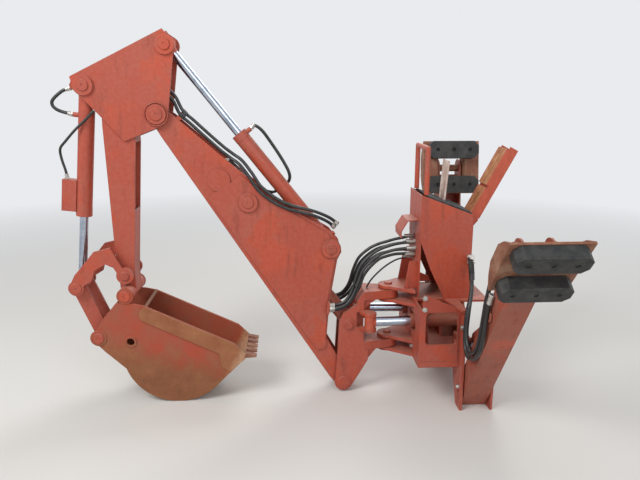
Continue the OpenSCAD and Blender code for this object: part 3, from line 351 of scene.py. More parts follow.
def hardChrome(name, line=None, eyeFrom=0.0):
    # Hard-chromed bar, ground smooth, with a thin film of oil and dust and a painted bluish reflection of the sky;
    # its eye is painted with the machine
    material, tree, shader, place = newMaterial(name, Metallic=1.0, Roughness=0.2)
    film = addNode(tree, "ShaderNodeTexNoise",
                   {"Vector": place, "Scale": 1 / 0.05, "Detail": 5.0, "Roughness": 0.6})
    # Bluish tones: painted reflection of the sky; the grey blotches: oil and dust
    chromeAndSkyTint = addNode(tree, "ShaderNodeValToRGB", {"Fac": film},
                     [(0.3, "#8d97a8"), (0.55, "#b4bcc9"), (0.75, "#9a9ca2")])
    if not line:
        feed(tree, shader, {"Base Color": chromeAndSkyTint})
        return material
    eye = addNode(tree, "ShaderNodeMapRange", {"Value": inFrame(tree, place, line)[0],
                                               "From Min": eyeFrom - 0.001, "From Max": eyeFrom + 0.001})
    paint = addNode(tree, "ShaderNodeValToRGB", {"Fac": film}, [(0.35, "#a9462e"), (0.65, "#b85a42")])
    metal = addNode(tree, "ShaderNodeMapRange", {"Value": eye, "To Min": 1.0, "To Max": 0.0})
    sheen = addNode(tree, "ShaderNodeMapRange", {"Value": eye, "To Min": 0.2, "To Max": 0.55})
    colour = coatOver(tree, chromeAndSkyTint, [(eye, paint)])
    feed(tree, shader, {"Base Color": colour, "Metallic": metal, "Roughness": sheen})
    return material


def mouldedRubber(name):
    # Moulded rubber with carbon black: matt, greyed by dust, scuffed pale along its corners.
    # Its pores are drawn coarser than real, so that they show
    material, tree, shader, place = newMaterial(name, Roughness=0.6)
    film = addNode(tree, "ShaderNodeTexNoise",
                   {"Vector": place, "Scale": 1 / 0.05, "Detail": 6.0, "Roughness": 0.65})
    dust = addNode(tree, "ShaderNodeMapRange",
                   {"Value": film, "From Min": 0.4, "From Max": 0.75, "To Max": 0.8})
    soft, edge = roundedEdges(tree, 0.005)
    rubbed = addNode(tree, "ShaderNodeMapRange",
                     {"Value": film, "From Min": 0.3, "From Max": 0.6, "To Max": 0.55})
    scuffed = addNode(tree, "ShaderNodeMath", {0: edge, 1: rubbed}, operation="MULTIPLY")
    pores = addNode(tree, "ShaderNodeTexNoise",
                    {"Vector": place, "Scale": 1 / 0.004, "Detail": 4.0, "Roughness": 0.6})
    bump = addNode(tree, "ShaderNodeBump", {"Height": pores, "Distance": 0.0005, "Normal": soft})
    colour = coatOver(tree, "#17181a", [(dust, "#43433f"), (scuffed, "#77766c")])
    feed(tree, shader, {"Base Color": colour, "Normal": bump})
    return material


def extrudedHose(name):
    # Synthetic-rubber hydraulic hose, satin black from the mandrel wrap, with a dusty bloom.
    # The wrap's weave is drawn coarser than real, so that it shows
    material, tree, shader, place = newMaterial(name, Roughness=0.42)
    film = addNode(tree, "ShaderNodeTexNoise",
                   {"Vector": place, "Scale": 1 / 0.03, "Detail": 5.0, "Roughness": 0.6})
    facingUp = addNode(tree, "ShaderNodeSeparateXYZ",
                       {0: addNode(tree, "ShaderNodeNewGeometry").outputs["Normal"]}).outputs["Z"]
    level = addNode(tree, "ShaderNodeMapRange",
                    {"Value": facingUp, "From Min": -0.2, "From Max": 1.0, "To Min": 0.25})
    uneven = addNode(tree, "ShaderNodeMapRange", {"Value": film, "From Min": 0.3, "From Max": 0.7})
    bloom = addNode(tree, "ShaderNodeMath", {0: level, 1: uneven}, operation="MULTIPLY")
    weave = addNode(tree, "ShaderNodeTexNoise",
                    {"Vector": place, "Scale": 1 / 0.003, "Detail": 3.0, "Roughness": 0.6})
    bump = addNode(tree, "ShaderNodeBump", {"Height": weave, "Distance": 0.0002})
    feed(tree, shader, {"Base Color": coatOver(tree, "#16181a", [(bloom, "#4c4b49")]), "Normal": bump})
    return material


def blackEnamel(name):
    # Stoved black enamel on sheet steel, dusty
    material, tree, shader, place = newMaterial(name, Roughness=0.45)
    film = addNode(tree, "ShaderNodeTexNoise",
                   {"Vector": place, "Scale": 1 / 0.04, "Detail": 6.0, "Roughness": 0.65})
    dust = addNode(tree, "ShaderNodeMapRange", {"Value": film, "From Min": 0.4, "From Max": 0.75})
    soft = roundedEdges(tree, 0.002)[0]
    bump = addNode(tree, "ShaderNodeBump", {"Height": film, "Distance": 0.0004, "Normal": soft})
    feed(tree, shader, {"Base Color": coatOver(tree, "#1b1c1f", [(dust, "#4a4746")]), "Normal": bump})
    return material


def zincPlate(name):
    # Zinc-plated fastener steel: dull silver with white bloom and a little rust
    material, tree, shader, place = newMaterial(name, Metallic=0.75, Roughness=0.4)
    bloom = addNode(tree, "ShaderNodeTexNoise",
                    {"Vector": place, "Scale": 1 / 0.01, "Detail": 5.0, "Roughness": 0.7})
    colour = addNode(tree, "ShaderNodeValToRGB", {"Fac": bloom},
                     [(0.3, "#8c8a86"), (0.55, "#c4c2bd"), (0.72, "#a9896f")])
    feed(tree, shader, {"Base Color": colour})
    return material


def paintedRecessShade(name):
    # Painted shade: a near-black disc for the unlit bottom of a bolt recess
    return newMaterial(name, Base_Color="#0b0a0a", Roughness=0.9)[0]


# Where each rod's bar ends and its painted eye begins, in metres along its cylinder's line
rodEye = {"boom": 0.8495, "dipper": 1.3318, "bucket": 1.0329, "swing": 0.2783, "left": 0.5595,
          "right": 0.4671}


def makeMaterials():
    made = {slot: weatheredPaint(slot + "Coat", look) for slot, look in paintLook.items()}
    made.update({
        "rusty_steel": rustedSteel("rustedSteel", "#6b4330", "#875640", "#a07c64"),
        "bucket": scouredBucket("scouredBucket"),
        "seat_arm": paintedArm("paintedArm"),
        # The levers: the same finish in pale, near-white tones
        "lever_steel": rustedSteel("paleLeverSteel", "#a08678", "#cbb3a6", "#e6d8ce"),
        "rubber": mouldedRubber("mouldedRubber"),
        "hose": extrudedHose("extrudedHose"),
        "black_sheet": blackEnamel("stovedEnamel"),
        "zinc": zincPlate("zincPlate"),
        "hole": paintedRecessShade("paintedRecessShade"),
        "chrome_rod": hardChrome("hardChrome"),
        "boom_rod": hardChrome("boomRodChrome", boomCylinder, rodEye["boom"]),
        "dipper_rod": hardChrome("dipperRodChrome", dipperCylinder, rodEye["dipper"]),
        "bucket_rod": hardChrome("bucketRodChrome", bucketCylinder, rodEye["bucket"]),
    })
    for side in legs:
        made["swing_rod_" + side] = hardChrome("swingRodChrome", swingCylinder[side], rodEye["swing"])
        made["leg_rod_" + side] = hardChrome("legRodChrome", legCylinder[side], rodEye[side])
    return made


def dressSolids(materials):
    slotOf = {s["node"]: s["material_slot"] for s in frame["record"]["subparts"]}
    for name, solid in frame["nodes"].items():
        solid.data.materials.clear()
        solid.data.materials.append(materials.get(name) or materials[slotOf[name]])


# Shapes made in code


def finishShape(name, shape, finish, body):
    bmesh.ops.recalc_face_normals(shape, faces=shape.faces)
    mesh = bpy.data.meshes.new(name)
    shape.to_mesh(mesh)
    shape.free()
    mesh.materials.append(finish)
    mesh.shade_smooth()
    mesh.set_sharp_from_angle(angle=math.radians(38))
    piece = bpy.data.objects.new(name, mesh)
    bpy.context.scene.collection.objects.link(piece)
    if body:
        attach(piece, body)
    return piece


def facing(point, direction):
    return Matrix.Translation(point) @ Vector(direction).to_track_quat("Z", "Y").to_matrix().to_4x4()


def addTurned(shape, place, profile, sides=32):
    # profile: radius and height along the local Z, from pole to pole
    rings = []
    for radius, height in profile:
        count = sides if radius else 1
        rings.append([shape.verts.new(place @ Vector((radius * math.cos(a), radius * math.sin(a), height)))
                      for a in (2 * math.pi * i / sides for i in range(count))])
    for low, high in zip(rings, rings[1:]):
        for i in range(sides):
            j = (i + 1) % sides
            corners = [low[i % len(low)], low[j % len(low)], high[j % len(high)], high[i % len(high)]]
            shape.faces.new(list(dict.fromkeys(corners)))


def addBlock(shape, place, size, bevel=0.0015):
    made = bmesh.ops.create_cube(shape, size=1, matrix=place @ Matrix.Diagonal((*size, 1)))
    edges = {e for v in made["verts"] for e in v.link_edges}
    bmesh.ops.bevel(shape, geom=list(edges), offset=bevel, segments=2, affect="EDGES", profile=0.6)


def smoothPath(points, steps):
    # The same curve through the points as the hoses' solids follow
    last = len(points) - 1
    path = []
    for i in range(last):
        a, b, c, d = (points[max(i - 1, 0)], points[i], points[i + 1], points[min(i + 2, last)])
        for k in range(steps):
            t = k / steps
            path.append(0.5 * (2 * b + (c - a) * t + (2 * a - 5 * b + 4 * c - d) * t * t
                               + (3 * b - a - 3 * c + d) * t ** 3))
    return path + [points[last]]


def tangents(path):
    last = len(path) - 1
    return [(path[min(i + 1, last)] - path[max(i - 1, 0)]).normalized() for i in range(last + 1)]


def addTube(shape, path, radius, sides=12, across=Vector((0, 1, 0)), along=None):
    along = along or tangents(path)
    rings = []
    for point, t in zip(path, along):
        u = t.cross(across).normalized()
        v = t.cross(u)
        rings.append([shape.verts.new(point + radius * (math.cos(a) * u + math.sin(a) * v))
                      for a in (2 * math.pi * j / sides for j in range(sides))])
    for low, high in zip(rings, rings[1:]):
        for j in range(sides):
            k = (j + 1) % sides
            shape.faces.new([low[j], low[k], high[k], high[j]])
    shape.faces.new(rings[0][::-1])
    shape.faces.new(rings[-1])


# Geometry Nodes that repeat a form at places or along a path


def newTree(name, inputs):
    tree = bpy.data.node_groups.new(name, "GeometryNodeTree")
    tree.interface.new_socket("Geometry", in_out="INPUT", socket_type="NodeSocketGeometry")
    for label, kind in inputs:
        tree.interface.new_socket(label, in_out="INPUT", socket_type="NodeSocket" + kind)
    tree.interface.new_socket("Geometry", in_out="OUTPUT", socket_type="NodeSocketGeometry")
    return tree, addNode(tree, "NodeGroupInput").outputs


def closeTree(tree, geometry, finish):
    real = addNode(tree, "GeometryNodeRealizeInstances", {"Geometry": geometry})
    coated = addNode(tree, "GeometryNodeSetMaterial", {"Geometry": real, "Material": finish})
    addNode(tree, "NodeGroupOutput", {0: coated})
    return tree


def studTree():
    # A chamfered head on a washer at every point, turned to the point's own direction
    tree, given = newTree("studs", (
        ("Sides", "Int"), ("Head Width", "Float"), ("Head Height", "Float"), ("Chamfer", "Float"),
        ("Washer Width", "Float"), ("Washer Height", "Float"), ("Turn Seed", "Int"), ("Finish", "Material")))
    radius = addNode(tree, "ShaderNodeMath", {0: given["Head Width"], 1: 0.5}, operation="MULTIPLY")
    washer = addNode(tree, "ShaderNodeMath", {0: given["Washer Width"], 1: 0.5}, operation="MULTIPLY")
    shank = addNode(tree, "ShaderNodeMath", {0: given["Head Height"], 1: given["Chamfer"]},
                    operation="SUBTRACT")
    top = addNode(tree, "ShaderNodeMath", {0: radius, 1: given["Chamfer"]}, operation="SUBTRACT")
    shoulder = addNode(tree, "ShaderNodeMath", {0: given["Washer Height"], 1: shank}, operation="ADD")
    joined = addNode(tree, "GeometryNodeJoinGeometry")
    for sides, high, low, depth, lift in ((20, washer, washer, given["Washer Height"], 0.0),
                                          (given["Sides"], radius, radius, shank, given["Washer Height"]),
                                          (given["Sides"], top, radius, given["Chamfer"], shoulder)):
        part = addNode(tree, "GeometryNodeMeshCone", {"Vertices": sides, "Radius Top": high,
                                                      "Radius Bottom": low, "Depth": depth})
        shift = addNode(tree, "ShaderNodeCombineXYZ", {"Z": lift})
        raised = addNode(tree, "GeometryNodeTransform", {"Geometry": part, "Translation": shift})
        tree.links.new(raised.outputs[0], joined.inputs[0])
    direction = addNode(tree, "GeometryNodeInputNamedAttribute", {"Name": "facing"}, data_type="FLOAT_VECTOR")
    aimed = addNode(tree, "FunctionNodeAlignRotationToVector", {"Vector": direction}, axis="Z")
    spin = addNode(tree, "FunctionNodeRandomValue", {3: math.tau, "Seed": given["Turn Seed"]},
                   data_type="FLOAT")
    angles = addNode(tree, "ShaderNodeCombineXYZ", {"Z": spin.outputs[1]})
    turn = addNode(tree, "FunctionNodeEulerToRotation", {0: angles})
    turned = addNode(tree, "FunctionNodeRotateRotation", {0: aimed, 1: turn}, rotation_space="LOCAL")
    size = addNode(tree, "GeometryNodeInputNamedAttribute", {"Name": "size"}, data_type="FLOAT")
    placed = addNode(tree, "GeometryNodeInstanceOnPoints", {"Points": given["Geometry"], "Instance": joined,
                                                            "Rotation": turned, "Scale": size})
    return closeTree(tree, placed, given["Finish"])


def beadTree():
    # A rippled weld bead along every edge of the path
    tree, given = newTree("weldBeads", (("Bead Width", "Float"), ("Step", "Float"), ("Ripple", "Float"),
                                        ("Finish", "Material")))
    path = addNode(tree, "GeometryNodeMeshToCurve", {0: given["Geometry"]})
    line = addNode(tree, "GeometryNodeResampleCurve", {"Curve": path, "Length": given["Step"]},
                   mode="LENGTH")
    radius = addNode(tree, "ShaderNodeMath", {0: given["Bead Width"], 1: 0.5}, operation="MULTIPLY")
    ring = addNode(tree, "GeometryNodeCurvePrimitiveCircle", {"Resolution": 6, "Radius": radius})
    bead = addNode(tree, "GeometryNodeCurveToMesh", {"Fill Caps": True, "Curve": line, "Profile Curve": ring})
    wave = addNode(tree, "ShaderNodeTexNoise", {"Scale": 160.0, "Detail": 1.0})
    centred = addNode(tree, "ShaderNodeMath", {0: wave, 1: 0.5}, operation="SUBTRACT")
    height = addNode(tree, "ShaderNodeMath", {0: centred, 1: given["Ripple"]}, operation="MULTIPLY")
    normal = addNode(tree, "GeometryNodeInputNormal")
    shift = addNode(tree, "ShaderNodeVectorMath", {0: normal, "Scale": height}, operation="SCALE")
    rippled = addNode(tree, "GeometryNodeSetPosition", {"Geometry": bead, "Offset": shift})
    return closeTree(tree, rippled, given["Finish"])


def coilTree():
    # Rings along a path, each tipped like a turn of a spiral wrap
    tree, given = newTree("coils", (("Pitch", "Float"), ("Ring Width", "Float"), ("Band Width", "Float"),
                                    ("Tip", "Float"), ("Finish", "Material")))
    path = addNode(tree, "GeometryNodeMeshToCurve", {0: given["Geometry"]})
    line = addNode(tree, "GeometryNodeResampleCurve", {"Curve": path, "Length": given["Pitch"]},
                   mode="LENGTH")
    circles = []
    for width, resolution in ((given["Ring Width"], 18), (given["Band Width"], 6)):
        radius = addNode(tree, "ShaderNodeMath", {0: width, 1: 0.5}, operation="MULTIPLY")
        circles.append(addNode(tree, "GeometryNodeCurvePrimitiveCircle",
                               {"Resolution": resolution, "Radius": radius}))
    ring = addNode(tree, "GeometryNodeCurveToMesh", {"Curve": circles[0], "Profile Curve": circles[1]})
    tangent = addNode(tree, "GeometryNodeInputTangent")
    aimed = addNode(tree, "FunctionNodeAlignRotationToVector", {"Vector": tangent}, axis="Z")
    angles = addNode(tree, "ShaderNodeCombineXYZ", {"X": given["Tip"]})
    tip = addNode(tree, "FunctionNodeEulerToRotation", {0: angles})
    tipped = addNode(tree, "FunctionNodeRotateRotation", {0: aimed, 1: tip}, rotation_space="LOCAL")
    placed = addNode(tree, "GeometryNodeInstanceOnPoints", {"Points": line, "Instance": ring,
                                                            "Rotation": tipped})
    return closeTree(tree, placed, given["Finish"])


def grow(name, tree, mesh, values, body):
    source = bpy.data.objects.new(name + "Source", mesh)
    bpy.context.scene.collection.objects.link(source)
    modifier = source.modifiers.new("grow", "NODES")
    modifier.node_group = tree
    for item in tree.interface.items_tree:
        if item.in_out == "INPUT" and item.name in values:
            modifier[item.identifier] = values[item.name]
    graph = bpy.context.evaluated_depsgraph_get()
    grown = bpy.data.meshes.new_from_object(source.evaluated_get(graph), depsgraph=graph)
    bpy.data.objects.remove(source)
    grown.name = name
    grown.shade_smooth()
    grown.set_sharp_from_angle(angle=math.radians(40))
    piece = bpy.data.objects.new(name, grown)
    bpy.context.scene.collection.objects.link(piece)
    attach(piece, body)


def pointMesh(rows):
    # rows: place, direction, size
    mesh = bpy.data.meshes.new("points")
    mesh.from_pydata([row[0] for row in rows], [], [])
    mesh.attributes.new("facing", "FLOAT_VECTOR", "POINT")
    mesh.attributes.new("size", "FLOAT", "POINT")
    for i, (_, direction, size) in enumerate(rows):
        mesh.attributes["facing"].data[i].vector = Vector(direction).normalized()
        mesh.attributes["size"].data[i].value = size
    return mesh


def pathMesh(paths):
    # paths: points and whether the path is closed
    places, edges = [], []
    for points, closed in paths:
        first = len(places)
        places += points
        count = len(points)
        edges += [(first + i, first + (i + 1) % count) for i in range(count if closed else count - 1)]
    mesh = bpy.data.meshes.new("paths")
    mesh.from_pydata(places, edges, [])
    return mesh


def onMachine(p):
    return machine @ (Vector(p) / 1000)


def onLine(line, q):
    # q: along the line, square to it, and Y, in millimetres
    return line @ (Vector((q[0], q[2], q[1])) / 1000)


# Lamps: place, width and power in watts
studio = {"backdrop": "#e9ebee", "floor": "#d9d7d2", "sky": "#f4f6fa", "skyStrength": 0.46, "floorHalf": 30.0,
          "fadeFrom": 2.8, "fadeTo": 8.0, "aim": (0.0, 0.3, 0.8),
          "lamps": [((-3.5, -3.0, 5.0), 3.0, 240.0), ((2.2, -5.5, 3.5), 4.0, 115.0),
                    ((1.5, 4.0, 4.5), 3.0, 110.0)]}


def makeStudio():
    material, tree, shader, place = newMaterial("paperFloor", Base_Color=studio["floor"], Roughness=0.85)
    distance = addNode(tree, "ShaderNodeVectorMath", {0: place}, operation="LENGTH").outputs["Value"]
    far = addNode(tree, "ShaderNodeMapRange", {"Value": distance, "From Min": studio["fadeFrom"],
                                               "From Max": studio["fadeTo"]})
    glow = addNode(tree, "ShaderNodeEmission", {"Color": studio["backdrop"]})
    both = addNode(tree, "ShaderNodeMixShader", {0: far, 1: shader, 2: glow})
    feed(tree, tree.nodes["Material Output"], {0: both})
    half = studio["floorHalf"]
    mesh = bpy.data.meshes.new("floor")
    corners = [(-half, -half, 0), (half, -half, 0), (half, half, 0), (-half, half, 0)]
    mesh.from_pydata(corners, [], [(0, 1, 2, 3)])
    mesh.materials.append(material)
    floor = bpy.data.objects.new("floor", mesh)
    bpy.context.scene.collection.objects.link(floor)
    world = bpy.data.worlds.new("studio")
    world.use_nodes = True
    bpy.context.scene.world = world
    tree = world.node_tree
    tree.nodes.clear()
    rays = addNode(tree, "ShaderNodeLightPath").outputs
    mirrored = addNode(tree, "ShaderNodeMath", {0: rays["Is Glossy Ray"], 1: rays["Is Transmission Ray"]},
                       operation="MAXIMUM")
    seen = addNode(tree, "ShaderNodeMath", {0: rays["Is Camera Ray"], 1: mirrored}, operation="MAXIMUM")
    sky = addNode(tree, "ShaderNodeBackground", {"Color": studio["sky"], "Strength": studio["skyStrength"]})
    backdrop = addNode(tree, "ShaderNodeBackground", {"Color": studio["backdrop"], "Strength": 1.0})
    both = addNode(tree, "ShaderNodeMixShader", {0: seen, 1: sky, 2: backdrop})
    addNode(tree, "ShaderNodeOutputWorld", {0: both})
    for i, (place, size, power) in enumerate(studio["lamps"]):
        data = bpy.data.lights.new("lamp" + str(i), "AREA")
        data.shape, data.size, data.energy = "DISK", size, power
        lamp = bpy.data.objects.new(data.name, data)
        lamp.location = place
        lamp.rotation_euler = (Vector(studio["aim"]) - Vector(place)).to_track_quat("-Z", "Y").to_euler()
        bpy.context.scene.collection.objects.link(lamp)
    bpy.context.scene.view_settings.view_transform = "Standard"


# Hoses: the same routes as the part's own, with rounder sections, and steel ferrules at their ends.
# Radii in metres; the second hose of a pair lies beside the first by pairStep, or headStep, in millimetres
hose = {"radius": 0.009, "thin": 0.005, "block": 0.007, "leg": 0.011, "steps": 5, "pairStep": (8, -24, 0),
        "headStep": (-24, 8, 0)}
ferrule = {"nut": 0.012, "nutLap": 0.0055, "sleeve": 0.042, "shortSleeve": 0.016, "sleeveLap": 0.003,
           "groove": 0.0012, "grooveMouth": 0.002, "grooves": 4, "edge": 0.001, "nutSides": 6, "sides": 20}
# The arch: place between its inner and outer curve, Y at the tower, Y at the boom
arch = [(0, -20, -74), (0.2, 12, 74), (0.45, -52, -94), (0.55, 46, 94), (0.8, -30, -74), (1, 22, 76)]
# Inner and outer curve, x z x z: the rows up to archSplit are the tower's bundle, and the rest the post's
archRows = [(144.2, 817, 144.2, 914), (123, 817, 123, 914), (90, 820, 90, 906), (35, 818, 35, 896),
            (-10, 808, -10, 883), (-63, 790, -60, 866), (-115, 745, -111, 838), (-152, 695, -168, 784),
            (-172, 640, -200, 710), (-195, 597, -218, 640), (-222, 556, -238, 594), (-258, 524, -268, 558),
            (-302, 508, -308, 544), (-348.7, 505, -345.7, 540)]
archSplit = 4
thinRun = [(141, 2, 795), (125, 2, 795), (90, 2, 790), (35, 0, 775), (-35, -4, 730), (-100, -8, 665),
           (-128, -8, 616)]
# The boom's and the gland's run lie on the boom's line, the others on the dipper's: place along the line,
# square to it, and Y
boomRun = [(1775, -97, -30), (1700, -116, -30), (1600, -141, -30), (1500, -168, -32), (1440, -190, -40),
           (1385, -212, -60), (1300, -220, -80), (1222, -220, -84), (1150, -240, -84), (1085, -270, -84),
           (1022, -316, -84), (965, -368, -78), (905, -410, -56), (845, -440, -26), (796, -452, -6)]
headRun = [(-105, -120, -30), (-120, -60, -30), (-118, 0, -30), (-90, 62, -30)]
glandRun = [(1441.6, -146, -8), (1428, -172, -8), (1385, -184, -10), (1292, -196, -12), (1211, -224, -12),
            (1168, -256, 2), (1147, -280, 38), (1143, -332, 58), (1154, -381, 54), (1196, -406, 45),
            (1286, -414, 40), (1399, -414, 28), (1470, -410, 10), (1511.5, -393, 1), (1509, -369, 0)]
loopRun = [(-35.4, -466.8, 0), (-9, -509, 0), (42, -549, 0), (72, -550, 0), (92, -522, 0), (98, -476, 0),
           (97.5, -437, 0)]
blockRun = [(30, -300, -53), (58, -325, -53), (108, -357, -54), (171, -402, -55), (239, -444, -48),
            (288, -472, -32), (342, -462, -20), (400, -436, -15), (444, -421, -14)]
# In front of the legs, X Y Z on the machine
legRuns = {
    "left": [[(425, -153.2, 830), (424, -176, 829), (412, -240, 782), (390, -330, 700), (362, -392, 600),
              (352, -406, 500), (352, -432, 435), (352, -490, 405), (354, -558, 448), (356, -598, 525),
              (358, -622, 620), (362, -640, 730), (364.6, -668, 820), (364.6, -700, 912)],
             [(428, -153.2, 798), (427, -176, 797), (416, -240, 746), (392, -322, 672), (362, -368, 590),
              (354, -377, 490), (352, -398, 408), (352, -455, 370), (354, -545, 400), (354, -620, 470),
              (356, -652, 560), (357, -672, 655), (357, -692, 730), (364.6, -712, 800)]],
    "right": [[(425, 153.2, 830), (424, 176, 829), (400, 226, 785), (366, 300, 722), (354, 375, 650),
               (352, 404, 570), (352, 408, 500), (352, 432, 435), (352, 468, 430), (354, 484, 480),
               (356, 464, 570), (361.6, 445, 640), (364.2, 440, 705)],
              [(428, 153.2, 798), (427, 176, 797), (400, 226, 752), (366, 288, 700), (353, 354, 640),
               (352, 375, 590), (352, 379, 500), (352, 396, 408), (352, 450, 385), (354, 512, 430),
               (354, 512, 560), (360, 478, 690), (364.6, 460, 760)]]}
# Where a bundle starts and ends between its two bodies, in metres; makeHose takes these but only bakes the hose in
# place and does not bend it.
# legBend holds the legs' X and Z, and Y from the machine's middle
bend = {"tower": ((0.712, 0.313, 0.86), (0.557, 0.313, 0.85)),
        "post": ((0.555, 0.313, 0.85), (0.22, 0.313, 0.53)),
        "head": (boomLine @ Vector((1.779, 0, -0.097)), dipperLine @ Vector((-0.105, 0, -0.12))),
        "gland": (boomLine @ Vector((1.292, 0, -0.196)), boomLine @ Vector((1.196, 0, -0.406))),
        "loop": (dipperLine @ Vector((-0.035, 0, -0.467)), dipperLine @ Vector((0.098, 0, -0.437))),
        "block": (dipperLine @ Vector((0.030, 0, -0.300)), dipperLine @ Vector((0.444, 0, -0.421)))}
legBend = {"x": 0.352, "z": 0.45, "left": (-0.406, -0.622), "right": (0.290, 0.440)}
spiralWrap = {"Pitch": 0.011, "Ring Width": 0.027, "Band Width": 0.0055, "Tip": 0.25}


def addFerrule(shape, point, direction, radius, length):
    # A hexagon nut on the port and a crimped sleeve on the hose
    place = facing(point, direction)
    nut, edge, mouth = ferrule["nut"], ferrule["edge"], ferrule["grooveMouth"]
    wide, thick = radius + ferrule["nutLap"], radius + ferrule["sleeveLap"]
    addTurned(shape, place, [(0, 0), (wide - edge, 0), (wide, edge), (wide, nut - edge), (wide - edge, nut),
                             (0, nut)], ferrule["nutSides"])
    profile = [(0, nut), (thick - edge, nut), (thick, nut + edge)]
    grooves = ferrule["grooves"] if length > ferrule["shortSleeve"] else 1
    step, deep = length / (grooves + 1), thick - ferrule["groove"]
    for i in range(1, grooves + 1):
        at = nut + i * step
        profile += [(thick, at - mouth), (deep, at - edge), (deep, at + edge), (thick, at + mouth)]
    end = nut + length
    addTurned(shape, place, profile + [(thick, end - edge), (thick - edge, end), (0, end)], ferrule["sides"])


def makeHose(name, runs, nodes, body=None, blend=None, across=Vector((0, 1, 0))):
    # runs: path, its directions or None, radius
    shape = bmesh.new()
    for path, along, radius in runs:
        addTube(shape, path, radius, across=across, along=along)
    piece = finishShape(name, shape, materials["hose"], body)
    if blend:
        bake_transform(piece)
    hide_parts(*nodes)


def makeFerrules(name, ends, body, length=ferrule["sleeve"]):
    # ends: path, whether its last point, radius
    shape = bmesh.new()
    for path, last, radius in ends:
        first, second = (path[-1], path[-2]) if last else (path[0], path[1])
        addFerrule(shape, first, second - first, radius, length)
    finishShape(name, shape, materials["zinc"], body)


def makeArch():
    towerRuns, postRuns, towerEnds, postEnds = [], [], [], []
    steps, last, radius = hose["steps"], len(archRows) - 1, hose["radius"]
    cut = archSplit * steps
    for t, yTower, yBoom in arch:
        points = []
        for i, (x0, z0, x1, z1) in enumerate(archRows):
            turn = min(1, max(0, (i - archSplit) / (last - archSplit - 2)))
            y = yTower + (yBoom - yTower) * turn
            points.append(onMachine((x0 + (x1 - x0) * t, y, z0 + (z1 - z0) * t)))
        path = smoothPath(points, steps)
        along = tangents(path)
        towerRuns.append((path[:cut + 1], along[:cut + 1], radius))
        postRuns.append((path[cut:], along[cut:], radius))
        towerEnds.append((path, False, radius))
        postEnds.append((path, True, radius))
    thin = smoothPath([onMachine(p) for p in thinRun], steps)
    towerRuns.append((thin, None, hose["thin"]))
    towerEnds.append((thin, False, hose["thin"]))
    makeHose("archHosesTower", towerRuns, ["hoses_tower"], blend=("root", "swing_post", *bend["tower"]))
    makeHose("archHosesPost", postRuns, ["hoses_post"], blend=("swing_post", "boom", *bend["post"]))
    makeFerrules("towerFerrules", towerEnds, "root")
    makeFerrules("boomEarFerrules", postEnds, "boom", ferrule["shortSleeve"])


def makeBoomHoses():
    headRuns, boomRuns, ends = [], [], []
    steps, radius, short = hose["steps"], hose["radius"], ferrule["shortSleeve"]
    cut = len(headRun) * steps
    for k in (0, 1):
        points = [onLine(dipperLine, Vector(q) + k * Vector(hose["headStep"])) for q in headRun]
        points += [onLine(boomLine, Vector(q) + k * Vector(hose["pairStep"])) for q in boomRun]
        path = smoothPath(points, steps)
        along = tangents(path)
        headRuns.append((path[:cut + 1], along[:cut + 1], radius))
        boomRuns.append((path[cut:], along[cut:], radius))
        ends.append((path, True, radius))
    gland = smoothPath([onLine(boomLine, q) for q in glandRun], steps)
    makeHose("headHoses", headRuns, ["hoses_head"], blend=("boom", "dipper", *bend["head"]))
    makeHose("boomHoses", boomRuns, ["hoses_boom"], "boom")
    makeHose("glandHose", [(gland, None, radius)], ["hose_gland"],
             blend=("boom", "dipper_barrel", *bend["gland"]))
    makeFerrules("boomFerrules", ends + [(gland, False, radius)], "boom", short)
    makeFerrules("glandFerrule", [(gland, True, radius)], "dipper_barrel", short)


def makeBucketHoses():
    starts, ends = [], []
    for name, run, radius in (("loop", loopRun, hose["radius"]), ("block", blockRun, hose["block"])):
        path = smoothPath([onLine(dipperLine, q) for q in run], hose["steps"])
        makeHose(name + "Hose", [(path, None, radius)], ["hoses_bucket"],
                 blend=("dipper", "bucket_barrel", *bend[name]))
        starts.append((path, False, radius))
        ends.append((path, True, radius))
    makeFerrules("headFerrules", starts, "dipper", ferrule["shortSleeve"])
    makeFerrules("bucketCylinderFerrules", ends, "bucket_barrel", ferrule["shortSleeve"])


def makeLegHoses():
    steps, radius = hose["steps"], hose["leg"]
    middle = machine.translation
    for side, runs in legRuns.items():
        title, body = side.capitalize(), "leg_" + side
        paths = [smoothPath([onMachine(p) for p in run], steps) for run in runs]
        start, end = (Vector((middle.x + legBend["x"], middle.y + y, legBend["z"])) for y in legBend[side])
        makeHose("legHoses" + title, [(path, None, radius) for path in paths], ["hoses_" + body],
                 blend=("root", body, start, end), across=Vector((1, 0, 0)))
        makeFerrules("legHoseRoots" + title, [(path, False, radius) for path in paths], "root")
        makeFerrules("legHoseEnds" + title, [(path, True, radius) for path in paths], body)
        wrapped = [(path[steps:2 * steps + 2], False) for path in paths]
        grow("spiralWrap" + title, trees["coils"], pathMesh(wrapped),
             dict(spiralWrap, Finish=materials["rubber"]), "root")


# Pins: capped ends with the recess of a grease nipple. A pin has a cap on both sides of the machine; its row
# says what it turns with, its line, place along and square to it, face, radius and lift, in millimetres
commonAt = guideLine.inverted() @ commonPin
cap = {"chamfer": 0.003, "recess": 0.007, "recessEdge": 0.001, "depth": 0.002}
pins = [("boom", boomLine, (1188, -134), 80, 31, 6), ("boom", boomLine, (717, -372), 80, 31, 6),
        ("dipper", dipperLine, (0, 0), 87, 34, 6), ("dipper", dipperLine, (-356, -14), 87, 30, 6),
        ("dipper", dipperLine, (-66, -385), 87, 30, 6), ("dipper", dipperLine, (894, -25), 113, 27, 6),
        ("swing_post", machine, (-265, 62), 90, 38, 9), ("swing_post", machine, (-238, 420), 90, 33, 6),
        ("bucket", bucketLine, (0, 0), 156.3, 31, 5), ("bucket", bucketLine, (-34, -287), 156.3, 31, 5),
        ("guide_links", guideLine, (commonAt.x * 1000, commonAt.z * 1000), 113, 32, 5)]
